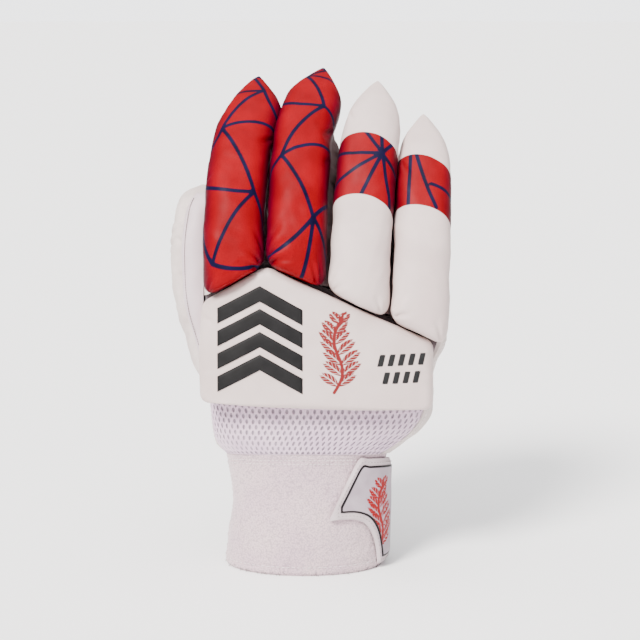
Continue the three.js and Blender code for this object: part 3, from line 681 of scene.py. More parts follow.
def red_with_painted_side_shade(tree, place):
    """Red with painted shade: deeper where the roll turns away to its sides."""
    face = tones(tree, place, 18, "#6e0008", "#7c000c")
    # Painted shade: these darker reds stand for the shade on the roll's sides and are mixed in by the edge
    # field.
    side = tones(tree, place, 18, "#3a0112", "#460218")
    edge = add(tree, "ShaderNodeAttribute", attribute_name="edge").outputs["Fac"]
    share = add(
        tree, "ShaderNodeMapRange", {0: edge, 1: 0.55, 2: 1.25}, interpolation_type="SMOOTHSTEP"
    ).outputs[0]
    return add(tree, "ShaderNodeMix", {0: share, 6: face, 7: side}, data_type="RGBA").outputs[2]


def red_pu():
    """Red coated leather with screen-printed navy lines: satin, a little glossier than the white."""
    made, tree, shader, place = begin("red_printed_leather", IOR=1.45, Specular_IOR_Level=0.05)
    ink = tones(tree, place, 9, "#080620", "#0f0c2c")
    colour = print_and_painted_shade(tree, red_with_painted_side_shade(tree, place), "ink", ink)
    leather_skin(tree, shader, place, colour, grain=0.7, wrinkle=6, depth=0.03, roughness=0.42)
    return made


def banded_pu():
    """White coated leather with a printed red band and navy lines inside it."""
    made, tree, shader, place = begin("white_leather_red_band", IOR=1.45, Specular_IOR_Level=0.1)
    white = tones(tree, place, 26, "#c1afac", "#cbbab6")
    ink = tones(tree, place, 9, "#080620", "#0f0c2c")
    colour = print_and_painted_shade(tree, white, "band", print_and_painted_shade(tree, red_with_painted_side_shade(tree, place), "ink", ink))
    leather_skin(tree, shader, place, colour, grain=0.7, wrinkle=7, depth=0.03, roughness=0.46)
    return made


def soft_leather():
    """Full-grain glove leather, tumbled: warm white, fine pebbles, and a greyer gusset tone on the stalls'
    fronts between the fingers, partly the gusset leather's own colour and partly painted shade.
    """
    made, tree, shader, place = begin("tumbled_glove_leather", IOR=1.45, Specular_IOR_Level=0.35)
    colour = tones(tree, place, 11, "#bfb1ad", "#cdc0bb")
    # Greyer gusset leather, made darker as painted shade where the stalls sit behind the rolls.
    gusset_and_shade = tones(tree, place, 14, "#6a5656", "#7f6b6c")
    inner = add(tree, "ShaderNodeAttribute", attribute_name="gusset_and_shade")
    share = add(tree, "ShaderNodeMapRange", {0: inner.outputs["Fac"]}, interpolation_type="SMOOTHSTEP")
    both = {0: share.outputs[0], 6: colour, 7: gusset_and_shade}
    colour = add(tree, "ShaderNodeMix", both, data_type="RGBA").outputs[2]
    leather_skin(tree, shader, place, colour, grain=0.9, wrinkle=3.2, depth=0.06, roughness=0.6)
    return made


def airmesh_knit():
    """Warp-knitted polyester spacer mesh: matt, lavender white, with fine knitted ribs between the holes."""
    made, tree, shader, place = begin(
        "knitted_spacer_mesh", Roughness=0.85, Sheen_Weight=0.25, Sheen_Roughness=0.5, IOR=1.5
    )
    colour = tones(tree, place, 16, "#c4aabf", "#cfb7c7")
    tree.links.new(colour, shader.inputs["Base Color"])
    rows = {"Vector": place, "Scale": 1 / (3.4 * MM), "Distortion": 2.0, "Detail": 2.0}
    bumps(tree, shader, (add(tree, "ShaderNodeTexWave", rows), 0.4, 0.12))
    return made


def mesh_backing():
    """Tricot lining behind the spacer mesh: grey where the holes let it show, with near-black painted shade
    where the fingers and the panel hide it.
    """
    made, tree, shader, place = begin("tricot_lining", Roughness=0.9, Sheen_Weight=0.2)
    colour = tones(tree, place, 3, "#958793", "#a89ba6")
    # Painted shade: the lining turns near black above the lining shade height, less so to the left, where the
    # fingers and the panel hide it.
    colour = print_and_painted_shade(tree, colour, "hidden_shade", linear("#4a3c3e"), soft=12)
    tree.links.new(colour, shader.inputs["Base Color"])
    weave = add(tree, "ShaderNodeTexNoise", {"Vector": place, "Scale": 1 / (0.6 * MM), "Detail": 2.0})
    bumps(tree, shader, (weave, 0.5, 0.1))
    return made


def towelling():
    """Cotton terry over foam: grainy loops about a millimetre across, matt with a soft sheen, with painted
    shade darkening the pits between the loops.
    """
    made, tree, shader, place = begin(
        "cotton_terry", Roughness=0.95, Sheen_Weight=0.35, Sheen_Roughness=0.6, Specular_IOR_Level=0.2
    )
    colour = tones(tree, place, 22, "#c8adb7", "#d2babd")
    loops = add(tree, "ShaderNodeTexVoronoi", {"Vector": place, "Scale": 1 / (0.95 * MM)})
    fuzz = add(tree, "ShaderNodeTexNoise", {"Vector": place, "Scale": 1 / (0.5 * MM), "Detail": 4.0})
    # Painted shade: darker where the loops' bump presses in, between the loops.
    pit_shade = add(tree, "ShaderNodeMapRange", {0: loops.outputs[0], 1: 0.3, 2: 0.8, 3: 0.0, 4: 0.55})
    darker = {0: pit_shade.outputs[0], 6: colour, 7: linear("#85747d")}
    colour = add(tree, "ShaderNodeMix", darker, data_type="RGBA").outputs[2]
    tree.links.new(colour, shader.inputs["Base Color"])
    bumps(tree, shader, (loops, 0.6, -0.35), (fuzz, 0.5, 0.2))
    return made


def strap_leather():
    """Coated split leather of the strap: off-white, matt, with a fine pressed grain."""
    made, tree, shader, place = begin("pressed_strap_leather", IOR=1.46, Specular_IOR_Level=0.35)
    colour = tones(tree, place, 12, "#b4a6a9", "#c1b3b6")
    leather_skin(tree, shader, place, colour, grain=0.6, wrinkle=5, depth=0.04, roughness=0.62)
    return made


def satin_label():
    """Woven satin label: grey lavender with fine floats across, a black woven outline and a red motif."""
    made, tree, shader, place = begin(
        "woven_satin", IOR=1.45, Anisotropic=0.5, Roughness=0.45, Specular_IOR_Level=0.2
    )
    colour = tones(tree, place, 9, "#9b8e97", "#a89ba4")
    colour = print_and_painted_shade(tree, colour, "red_print", linear("#8a0003"))
    colour = print_and_painted_shade(tree, colour, "outline", linear("#0c0a0b"))
    tree.links.new(colour, shader.inputs["Base Color"])
    rows = {"Vector": place, "Scale": 1 / (1.6 * MM), "Distortion": 0.6}
    bumps(tree, shader, (add(tree, "ShaderNodeTexWave", rows, bands_direction="Z"), 0.25, 0.05))
    return made


def black_rubber():
    """Moulded rubber transfer: near black and satin, with a faint drift of tone."""
    made, tree, shader, place = begin("moulded_black_rubber", IOR=1.5, Specular_IOR_Level=0.18)
    colour = tones(tree, place, 8, "#0a090a", "#121112")
    leather_skin(tree, shader, place, colour, grain=0.5, wrinkle=3, depth=0.03, roughness=0.5)
    return made


def thread(name, low, high):
    """Twisted polyester sewing thread: satin, with the plies as fine bands."""
    made, tree, shader, place = begin(name, Roughness=0.5, Sheen_Weight=0.3)
    colour = tones(tree, place, 2, low, high)
    tree.links.new(colour, shader.inputs["Base Color"])
    plies = {"Vector": place, "Scale": 1 / (0.9 * MM)}
    bumps(tree, shader, (add(tree, "ShaderNodeTexWave", plies, bands_direction="DIAGONAL"), 0.5, 0.06))
    return made


def studio_floor():
    """Seamless painted board: pale grey and matt."""
    made, _, shader, _ = begin("painted_board", Roughness=0.9, Specular_IOR_Level=0.1)
    shader.inputs["Base Color"].default_value = linear("#fbfbfb")
    return made


def glowing_backdrop():
    """Back-lit paper: one even pale grey."""
    made, _, shader, _ = begin("back_lit_paper", Roughness=1.0, Specular_IOR_Level=0.0, Emission_Strength=3.5)
    shader.inputs["Base Color"].default_value = (0, 0, 0, 1)
    shader.inputs["Emission Color"].default_value = linear("#f6f6f8")
    return made


WHITE_PU = coated_leather("white_coated_leather", "#c1afab", "#cbb9b5")
THUMB_PU = coated_leather("lavender_white_coated_leather", "#bfaeb3", "#c9b8bd")
RED_PU = red_pu()
BANDED_PU = banded_pu()
LEATHER = soft_leather()
AIRMESH = airmesh_knit()
BACKING = mesh_backing()
TOWEL = towelling()
STRAP = strap_leather()
SATIN = satin_label()
RUBBER = black_rubber()
WHITE_THREAD = thread("white_polyester_thread", "#d3cbcc", "#e4dddd")
GREY_THREAD = thread("grey_polyester_thread", "#7d7072", "#978a8b")
BROWN_THREAD = thread("brown_polyester_thread", "#4a3a37", "#665350")
DARK_FIBRE = thread("dark_loose_fibre", "#3d3233", "#7a6d6c")


# Geometry Nodes trees


def tree_with(name, sizes, **others):
    """A Geometry Nodes tree with a geometry in and out, named sizes and inputs of other kinds."""
    group = bpy.data.node_groups.new(name, "GeometryNodeTree")
    sockets = {"Geometry": "Geometry"} | {key: "Float" for key in sizes.split()} | others
    for key, kind in sockets.items():
        group.interface.new_socket(key, in_out="INPUT", socket_type="NodeSocket" + kind)
    group.interface.new_socket("Geometry", in_out="OUTPUT", socket_type="NodeSocketGeometry")
    return group, add(group, "NodeGroupInput").outputs


def end_tree(group, made, material):
    """Realizes the instances, smooths them and gives them their material."""
    real = add(group, "GeometryNodeRealizeInstances", {0: made}).outputs[0]
    smooth = add(group, "GeometryNodeSetShadeSmooth", {0: real}).outputs[0]
    made = add(group, "GeometryNodeSetMaterial", {"Geometry": smooth, "Material": material})
    add(group, "NodeGroupOutput", {0: made.outputs[0]})
    return group


def stitch_tree():
    """Stitches laid end to end along lines."""
    group, given = tree_with("stitch_run", "Pitch Length Thickness", Thread="Material")
    curve = add(group, "GeometryNodeMeshToCurve", {0: given["Geometry"]}).outputs[0]
    every = {"Curve": curve, "Length": given["Pitch"]}
    spaced = add(group, "GeometryNodeResampleCurve", every, mode="LENGTH").outputs[0]
    long, thick = (
        add(group, "ShaderNodeMath", {0: given[key], 1: 0.5}, operation="MULTIPLY").outputs[0]
        for key in ("Length", "Thickness")
    )
    size = add(group, "ShaderNodeCombineXYZ", {0: long, 1: thick, 2: thick}).outputs[0]
    ball = add(group, "GeometryNodeMeshUVSphere", {"Segments": 6, "Rings": 4, "Radius": 1.0}).outputs[0]
    ball = add(group, "GeometryNodeTransform", {"Geometry": ball, "Rotation": (0, math.pi / 2, 0)}).outputs[0]
    one = add(group, "GeometryNodeTransform", {"Geometry": ball, "Scale": size}).outputs[0]
    tangent = add(group, "GeometryNodeInputTangent").outputs[0]
    turn = add(group, "FunctionNodeAlignRotationToVector", {"Vector": tangent}, axis="X").outputs[0]
    laid = add(group, "GeometryNodeInstanceOnPoints", {"Points": spaced, "Instance": one, "Rotation": turn})
    return end_tree(group, laid.outputs[0], given["Thread"])


def mesh_tree():
    """Knitted mesh: the cells of a staggered net, each pierced by a hole that grows towards the top."""
    group, given = tree_with("pierced_mesh", "Thickness Low High Hole_low Hole_high", Knit="Material")
    cells = add(group, "GeometryNodeDualMesh", {0: given["Geometry"], "Keep Boundaries": True}).outputs[0]
    apart = {"Mesh": cells, "Offset Scale": 0.0, "Individual": True}
    inset = add(group, "GeometryNodeExtrudeMesh", apart, mode="FACES")
    top = inset.outputs["Top"]
    place = add(group, "GeometryNodeInputPosition").outputs[0]
    height = add(group, "ShaderNodeSeparateXYZ", {0: place}).outputs[2]
    share = add(group, "ShaderNodeMapRange", {
        0: height, 1: given["Low"], 2: given["High"], 3: given["Hole_low"], 4: given["Hole_high"],
    }).outputs[0]
    smaller = {"Geometry": inset.outputs[0], "Selection": top, "Scale": share}
    shrunk = add(group, "GeometryNodeScaleElements", smaller).outputs[0]
    holes = {"Geometry": shrunk, "Selection": top}
    open_net = add(group, "GeometryNodeDeleteGeometry", holes, domain="FACE").outputs[0]
    thick = {"Mesh": open_net, "Offset Scale": given["Thickness"], "Individual": False}
    pulled = add(group, "GeometryNodeExtrudeMesh", thick, mode="FACES").outputs[0]
    under = add(group, "GeometryNodeFlipFaces", {0: open_net}).outputs[0]
    joined = add(group, "GeometryNodeJoinGeometry", {0: under})
    group.links.new(pulled, joined.inputs[0])
    welded = {"Geometry": joined.outputs[0], "Distance": 0.01 * MM}
    merged = add(group, "GeometryNodeMergeByDistance", welded).outputs[0]
    rounded = add(group, "GeometryNodeSubdivisionSurface", {"Mesh": merged, "Level": 1}).outputs[0]
    return end_tree(group, rounded, given["Knit"])


def fibre_tree():
    """Loose fibres and loops standing out of a rough edge."""
    group, given = tree_with("loose_fibres", "Density Length Thickness", Seed="Int", Fibre="Material")
    seed, long = given["Seed"], given["Length"]
    spots = add(group, "GeometryNodeDistributePointsOnFaces", {
        "Mesh": given["Geometry"], "Density": given["Density"], "Seed": seed,
    }).outputs[0]
    bend = add(group, "GeometryNodeCurveQuadraticBezier", {
        "Resolution": 5, "Start": (0, 0, 0), "Middle": (0.5, 0.55, 0), "End": (1, 0.1, 0.2),
    }).outputs[0]
    scaled = add(group, "ShaderNodeCombineXYZ", {0: long, 1: long, 2: long}).outputs[0]
    bend = add(group, "GeometryNodeTransform", {"Geometry": bend, "Scale": scaled}).outputs[0]
    thin = {"Resolution": 4, "Radius": given["Thickness"]}
    section = add(group, "GeometryNodeCurvePrimitiveCircle", thin, mode="RADIUS").outputs[0]
    strand = add(group, "GeometryNodeCurveToMesh", {
        "Curve": bend, "Profile Curve": section, "Fill Caps": True,
    }).outputs[0]
    any_way = {0: (-3.1, -3.1, -3.1), 1: (3.1, 3.1, 3.1), "Seed": seed}
    turn = add(group, "FunctionNodeRandomValue", any_way, data_type="FLOAT_VECTOR").outputs[0]
    size = add(group, "FunctionNodeRandomValue", {2: 0.4, 3: 1.3, "Seed": seed}, data_type="FLOAT").outputs[1]
    laid = add(group, "GeometryNodeInstanceOnPoints", {
        "Points": spots, "Instance": strand, "Rotation": turn, "Scale": size,
    }).outputs[0]
    return end_tree(group, laid, given["Fibre"])


def grow(piece, group, **settings):
    """Runs a Geometry Nodes tree on a piece and keeps the result as its plain mesh."""
    modifier = piece.modifiers.new(group.name, "NODES")
    modifier.node_group = group
    sockets = {s.name: s.identifier for s in group.interface.items_tree if s.in_out == "INPUT"}
    for key, value in settings.items():
        modifier[sockets[key]] = value
    baked(piece)
    return piece


def lines(name, paths):
    """Open lines as a mesh of edges."""
    edges, first = [], 0
    for path in paths:
        edges += [(first + i, first + i + 1) for i in range(len(path) - 1)]
        first += len(path)
    return bare(name, np.concatenate(paths), edges, [])


STITCH = stitch_tree()


def stitches(name, paths, slot, pitch=2.6, length=1.9, thickness=0.42, yarn=None):
    made = grow(
        lines(name, paths), STITCH,
        Pitch=pitch * MM, Length=length * MM, Thickness=thickness * MM, Thread=yarn or WHITE_THREAD,
    )
    return dress(made, slot)


# Finger rolls

ROLL_COLUMNS = 124
LINE_WIDTH = 2.2
LUMP = 0.35
PLEATS = 9
GATHER_START = 0.8
GATHER_DEPTH = 0.9
FOLD_DEPTH = 1.5
INKED_TIP = 3.5
# How far round a roll its back's middle lies from its front's, in half widths.
ROLL_BACK_ASIDE = 2.7

# Folds of each roll on its own face: across from the middle and along from the base, in millimetres.
ROLL_FOLDS = {
    "index": [
        ((16, 3), (2, 12), 1.1, 2.6), ((17, 8), (5, 22), 0.9, 2.6), ((19, 15), (9, 36), 0.6, 2.6),
        ((-17, 4), (-8, 12), 0.6, 2.4), ((20, 95), (10, 86), 0.7, 3.0), ((-20, 62), (-9, 70), 0.35, 3.0),
    ],
    "middle": [
        ((-17, 4), (-2, 11), 1.1, 2.6), ((-18, 9), (-4, 22), 0.8, 2.6), ((-19, 15), (-8, 34), 0.5, 2.6),
        ((13, 2), (9, 14), 0.9, 2.0), ((17, 5), (12, 20), 0.7, 2.2), ((20, 98), (12, 88), 0.9, 3.2),
        ((21, 76), (13, 70), 0.5, 3.0),
    ],
    "ring": [
        ((-17, 5), (-7, 12), 0.6, 2.4), ((-18, 12), (-9, 26), 0.45, 2.6), ((15, 3), (9, 12), 0.5, 2.6),
        ((-14, 122), (-8, 108), 0.6, 2.6),
    ],
    "little": [
        ((-16, 6), (-4, 12), 1.0, 2.4), ((-17, 11), (-7, 24), 0.6, 2.6), ((14, 3), (9, 13), 0.7, 2.4),
        ((-13, 104), (-7, 92), 0.4, 2.6),
    ],
}
# How far a roll's left and right sides stand out near its tip, against the plain form, in millimetres.
TIP_BULGE = {"index": (-2.6, 4.6), "middle": (0.4, 3.8), "ring": (-0.4, 1.0), "little": (0, 0.4)}
TIP_BULGE_AT = 0.81
TIP_BULGE_REACH = 0.12

# Printed lines: each runs from one place to another (across in millimetres, up as a share) with a bow.
ROLL_LINES = {
    "index": [
        ((-12, 0.1), (11, 0.36), 2), ((11, 0.36), (-12, 0.63), -2), ((-12, 0.63), (7, 0.87), 2),
        ((7, 0.87), (-4, 1), 0), ((11, 0.36), (-26, 0.4), 3), ((-12, 0.63), (26, 0.66), 4),
        ((7, 0.87), (-24, 0.83), 2), ((11, 0.36), (24, 0.1), 2), ((-12, 0.1), (24, 0.02), -2),
        ((-12, 0.1), (-24, 0.3), 2), ((-12, 0.63), (-26, 0.5), 2), ((7, 0.87), (24, 0.7), -2),
    ],
    "middle": [
        ((-24, 0.02), (9, 0.23), -2), ((9, 0.23), (-11, 0.47), -2), ((-11, 0.47), (10, 0.71), 2),
        ((10, 0.71), (-7, 0.9), -2), ((-7, 0.9), (6, 1), 0), ((9, 0.23), (26, 0.04), 1),
        ((9, 0.23), (3, 0), 1), ((9, 0.23), (26, 0.3), 2), ((-11, 0.47), (26, 0.51), 4),
        ((-11, 0.47), (-26, 0.3), -2), ((10, 0.71), (-26, 0.75), 4), ((-7, 0.9), (24, 0.86), 3),
        ((10, 0.71), (26, 0.6), 2),
    ],
    "ring": [
        ((8, 0.59), (-26, 0.44), 1), ((8, 0.59), (-26, 0.6), 2), ((8, 0.59), (-15, 0.8), 1),
        ((8, 0.59), (4, 0.82), 0), ((8, 0.59), (26, 0.72), 1), ((8, 0.59), (26, 0.5), -1),
        ((8, 0.59), (-4, 0.38), 0), ((8, 0.59), (16, 0.38), 0),
    ],
    "little": [
        ((-7, 0.84), (-9, 0.5), 0), ((-7, 0.84), (7, 0.5), -2), ((-7, 0.84), (26, 0.66), -2),
        ((-7, 0.84), (-26, 0.62), 1), ((4, 0.6), (24, 0.54), 1),
    ],
}
RED_BAND = {
    "ring": dict(low=65, high=105, arch=5, slant=-0.12),
    "little": dict(low=75, high=108, arch=4, slant=-0.2),
}


def bowed(start, end, bow):
    """A line between two points that bows sideways by a few millimetres."""
    t = np.linspace(0, 1, 9)[:, None]
    start, end = np.array(start, float), np.array(end, float)
    line = end - start
    side = np.array([-line[1], line[0]]) / np.hypot(*line)
    return start + line * t + side * 4 * bow * t * (1 - t)


def ink_paths(name, length):
    """Printed lines of a roll, as paths on its face. Heights are shares of its length."""
    return [
        bowed((a[0], a[1] * length), (b[0], b[1] * length), bow) for a, b, bow in ROLL_LINES[name]
    ]


def make_roll(name):
    """A foam roll under coated leather: lumpy, folded at its foot and gathered to a point at its tip."""
    finger = FINGERS[name]
    length = finger_length(finger)
    foot, neck = np.linspace(0, 0.08, 16, endpoint=False), np.linspace(0.08, 0.78, 92, endpoint=False)
    along = np.concatenate([foot, neck, np.linspace(0.78, 1, 52)])[:, None]
    turn = turns(ROLL_COLUMNS, math.pi / 2)[None, :]
    at, side, behind, _ = finger_frame(finger, along)
    from_base = np.minimum(along * length / ROLL_BASE_ROUND, 1)
    foot = ROLL_FOOT_SHARE + (1 - ROLL_FOOT_SHARE) * np.sqrt(1 - (1 - from_base) ** 2)
    to_tip = (1 - along) * length / ROLL_TIP_TAPER
    width = finger["width"] * ROLL_HALF_WIDTH * read(ROLL_TIP, "width", to_tip) * foot
    deep = read(ROLL_TIP, "depth", to_tip) * foot
    slope = float(base_slope(finger["base"] * FINGER_PITCH))
    shear = slope * np.maximum(1 - along / ROLL_SLANT_REACH, 0) ** ROLL_SLANT_POWER
    c, s = round_square(turn, ROLL_SQUARE)
    full = s * deep * np.where(s > 0, ROLL_BACK_DEPTH, ROLL_FRONT_DEPTH)
    width = width + np.where(c < 0, *TIP_BULGE[name]) * near(along, TIP_BULGE_AT, TIP_BULGE_REACH)
    rise = ROLL_BASE_SLANT * shear * c * width
    seat = stall_front(finger, along, c * width) - ROLL_SEAT_GAP - ROLL_SEAT_LEAN * np.maximum(-rise, 0)
    grid = at + side * (c * width)[..., None] + behind * np.minimum(full, seat)[..., None]
    grid[..., 2] += rise

    middle = ROLL_COLUMNS // 2
    steps = np.linalg.norm(np.diff(grid, axis=1), axis=-1)
    u = np.concatenate([np.zeros((len(along), 1)), np.cumsum(steps, axis=1)], axis=1)
    u = u - u[:, middle : middle + 1]
    climb = np.linalg.norm(np.diff(grid[:, middle], axis=0), axis=-1)
    v = np.concatenate([[0], np.cumsum(climb)])[:, None] + 0 * u

    seed = sorted(FINGERS).index(name)
    taper = np.clip(1.4 * to_tip, 0, 1)
    lumps = LUMP * waves(grid, 26, seed) + 0.3 * LUMP * waves(grid, 9, seed + 10)
    gather = np.clip((along - GATHER_START) / (1 - GATHER_START), 0, 1) ** 1.5
    pleat = np.abs(np.sin(PLEATS / 2 * turn + 0.7 * waves(grid, 40, seed + 20)))
    front = np.clip(1.5 * np.maximum(-s, 0) + 0.3, 0, 1)
    folds = FOLD_DEPTH * creases(u, v, ROLL_FOLDS[name]) * front
    relief = (lumps - folds) * taper - GATHER_DEPTH * gather * (1 - pleat) * taper
    grid = grid + outward(grid) * np.minimum(relief, 0.5)[..., None]

    paths = ink_paths(name, v[-1, 0])
    ink = np.min([to_line(u, v, path) for path in paths], axis=0) - LINE_WIDTH / 2
    aside = np.abs(u) / (finger["width"] * ROLL_HALF_WIDTH)
    # edge grows from the roll's middle towards its sides and drives the painted shade that darkens the red
    # there.
    fields = {"ink": ink, "edge": np.minimum(aside, ROLL_BACK_ASIDE - aside)}
    if name in RED_BAND:
        band = RED_BAND[name]
        curve = band["slant"] * u - band["arch"] * (u / ROLL_HALF_WIDTH) ** 2
        fields["band"] = np.maximum(band["low"] + curve - v, v - band["high"] - curve)
    else:
        fields["ink"] = np.minimum(ink, v[-1, 0] - INKED_TIP - v)
    material = BANDED_PU if name in RED_BAND else RED_PU
    made = loft(f"{name}_finger_roll", grid, material, fields)
    return dress(made, "white_pu" if name in RED_BAND else "red_pu", f"{name}_roll", fill=0.8)


# Finger stalls

STALL_COLUMNS = 76
STALL_ROWS = 96
STALL_CREASES = 9
STALL_CREASE_DEPTH = 0.32
# Slack leather that stands out on a stall's left and right sides, in millimetres.
STALL_EARS = {"index": (0.6, 4.0), "middle": (3.8, 4.4), "ring": (3.0, 4.4), "little": (4.4, 0.6)}
# Which of a stall's left and right sides face another finger and have the darker gusset tone, partly painted
# shade.
STALL_GUSSETS = {"index": (0.1, 1), "middle": (1, 1), "ring": (1, 1), "little": (1, 0.1)}


def stall_surface(finger, offset, last):
    """A stall's surface from the root plane to its tip, as rows of rings."""
    turn = turns(STALL_COLUMNS, math.pi / 2)[None, :]
    share = np.linspace(0, last, STALL_ROWS)[:, None]
    grid = stall_ring(finger, share, turn, offset)
    root = grid[:1].copy()
    root[..., 2] -= STALL_ROOT_RUN
    grid = np.concatenate([root, grid])
    slope = float(base_slope(finger["base"] * FINGER_PITCH))
    plane = PANEL_APEX_Z + ROOT_LIFT + SEAM_GAP - slope * PANEL_APEX_X
    above = grid[..., 2] - slope * grid[..., 0] - plane
    trimmed = np.empty_like(grid)
    places = np.arange(len(grid), dtype=float)
    for column in range(grid.shape[1]):
        crossing = int(np.argmax(above[:, column] > 0))
        a, b = above[crossing - 1, column], above[crossing, column]
        start = crossing - 1 + a / (a - b)
        spaced = start + (places[-1] - start) * (places / places[-1])
        for k in range(3):
            trimmed[:, column, k] = np.interp(spaced, places, grid[:, column, k])
    return trimmed


def make_stall(name):
    """A hollow leather tube behind a roll, creased on its palm side and slack between the fingers."""
    finger = FINGERS[name]
    outer = stall_surface(finger, 0, 1)
    inner = stall_surface(finger, -STALL_WALL, 0.955)
    seed = 30 + sorted(FINGERS).index(name)
    height = np.linspace(0, 1, len(outer))[:, None]
    calm = np.clip(height * 8, 0, 1) * np.clip((1 - height) * 12, 0, 1)
    turn = turns(STALL_COLUMNS, math.pi / 2)[None, :]
    palm_side = np.clip(np.sin(turn) + 0.5, 0, 1)
    rings = np.sin(2 * math.pi * (height * STALL_CREASES + 0.35 * waves(outer, 30, seed)))
    knuckles = STALL_CREASE_DEPTH * np.clip(rings, -1, 0.4) * palm_side
    ear = np.where(np.cos(turn) < 0, *STALL_EARS[name]) * np.clip(1.4 * np.abs(np.cos(turn)) - 0.4, 0, 1)
    ear = ear * np.clip(0.8 + 1.5 * height, 0, 1) * np.clip(1 - (height - 0.72) / 0.16, 0, 1)
    relief = calm * (0.28 * waves(outer, 17, seed + 1) + 0.12 * waves(outer, 6, seed + 2) + knuckles - 0.15)
    swell = np.clip(relief, -0.9, 0.25) + ear * (1 + 0.25 * waves(outer, 12, 39))
    shift = outward(outer) * swell[..., None]
    both = np.concatenate([(outer + shift)[::-1], inner + 0.6 * shift])
    between = np.where(np.cos(turn) < 0, *STALL_GUSSETS[name])
    # Gusset tone on the stall's front, behind the roll: partly the leather's own colour, partly painted shade
    # between the fingers.
    gusset_and_shade = np.clip(0.9 - 1.6 * np.sin(turn), 0, 1) * between + 0 * height
    made = loft(f"{name}_leather_stall", both, LEATHER, {"gusset_and_shade": np.concatenate([gusset_and_shade, gusset_and_shade])})
    return dress(made, "leather", f"{name}_stall")


def stall_way(name):
    """The room that a finger's stall and its root need, to be cut out of what lies beside it."""
    rings = stall_ring(FINGERS[name], np.linspace(0, 1, 40)[:, None], turns(60)[None, :], STALL_CUT_GAP)
    return loft("stall_way", np.concatenate([rings[:1] - (0, 0, STALL_ROOT_RUN), rings]))


def stall_seams(name):
    """Two seams run up the sides of a stall and over its tip."""
    share = np.linspace(0.12, 0.97, 90)
    return [stall_ring(FINGERS[name], share, turn, 0.2) for turn in (0.35, math.pi - 0.35)]


# Back panel, its raised bars and prints

PANEL_COLUMNS = 420
PANEL_FACE_RINGS = 105
PRINT_REACH = 0.5
PANEL_SWELL = 0.22
PANEL_RIPPLE = 0.1
SPRIG_BASE = (14.5, 110.5)
SPRIG_TOP = (19.0, 151.0)
SPRIG_BEND = 7.0
SPRIG_PAIRS = 7
SPRIG_STEM = 1.8
SPRIG_LEAF = 16
LEAF_HALF_WIDTH = 2.75
LEAF_RIB = 0.3
LEAF_VEIN = 0.2
VEIN_PITCH = 2.6
DASH_ROWS = ((5, 64.5, 124.4), (4, 61.5, 114.6))
DASH = dict(pitch=5.7, width=3.3, height=6.6, slant=0.25)


def sprig_distance(x, z):
    """Distance to a leafy sprig: a bent stem with pairs of slender ribbed leaves."""
    t = np.linspace(0, 1, 15)
    base, top = np.array(SPRIG_BASE), np.array(SPRIG_TOP)
    stem = base + (top - base) * t[:, None] + np.stack([SPRIG_BEND * np.sin(2 * math.pi * t) / 2, 0 * t], -1)
    shape = to_line(x, z, stem) - SPRIG_STEM / 2
    for i in range(SPRIG_PAIRS):
        share = (i + 0.6) / SPRIG_PAIRS
        foot = np.array([np.interp(share, t, stem[:, k]) for k in range(2)])
        long = SPRIG_LEAF * (1 - 0.35 * share) * (0.75 + 0.25 * math.sin(math.pi * share))
        for side in (-1, 1):
            angle = math.radians(90 - side * (48 - 14 * share))
            along = (x - foot[0]) * math.cos(angle) + (z - foot[1]) * math.sin(angle)
            across = (x - foot[0]) * math.sin(angle) - (z - foot[1]) * math.cos(angle)
            bend = across - side * 0.012 * along**2
            lens = LEAF_HALF_WIDTH * (1 - (2 * np.clip(along / long, 0, 1) - 1) ** 2) ** 0.8
            leaf = np.abs(bend) - lens + 2 * np.maximum(-along, along - long).clip(0)
            rib = LEAF_RIB - np.abs(bend) + 0.5 * (along > 0.86 * long)
            vein = np.abs((along - 1.4 * np.abs(bend)) % VEIN_PITCH - VEIN_PITCH / 2)
            veins = LEAF_VEIN - vein - 0.5 * (np.abs(bend) < 0.5)
            shape = np.minimum(shape, np.maximum(leaf, np.maximum(rib, veins)))
    return shape


def dash_distance(x, z):
    """Distance to two short rows of slanted bars."""
    shape = np.full(np.shape(x), FAR)
    for count, right, low in DASH_ROWS:
        for i in range(count):
            middle = right - i * DASH["pitch"] - DASH["width"] / 2
            up = np.abs(z - low - DASH["height"] / 2) - DASH["height"] / 2
            aside = np.abs(x - DASH["slant"] * (z - low) - middle) - DASH["width"] / 2
            shape = np.minimum(shape, np.maximum(up, aside))
    return shape


def panel_rings(grow, outline, shares):
    """The panel's rings, from the middle of its back over its edge to the middle of its face."""
    middle = np.array(PANEL_MIDDLE)
    away = outline - middle
    reach = np.linalg.norm(away, axis=1, keepdims=True)

    def inward(inset):
        return middle + away / reach * (reach - inset + grow)

    def back(p):
        return panel_back(p[:, 0], p[:, 1]) + grow

    def face(p):
        return panel_front(p[:, 0], p[:, 1]) - grow

    edge = PANEL_EDGE_ROUND
    rings = [(middle + away * share, back) for share in (0.05, 0.3, 0.5, 0.65, 0.8)]
    rings += [(inward(inset), back) for inset in (edge * 0.5, edge * 0.2)]
    rings = [stack(p[:, 0], depth(p), p[:, 1]) for p, depth in rings]
    for angle in np.linspace(0, math.pi / 2, 10):
        p = inward(edge * (1 - math.cos(angle)))
        rings.append(stack(p[:, 0], face(p) + edge * (1 - math.sin(angle)), p[:, 1]))
    for share in shares:
        p = middle + (inward(edge) - middle) * share
        rings.append(stack(p[:, 0], face(p), p[:, 1]))
    return np.array(rings)


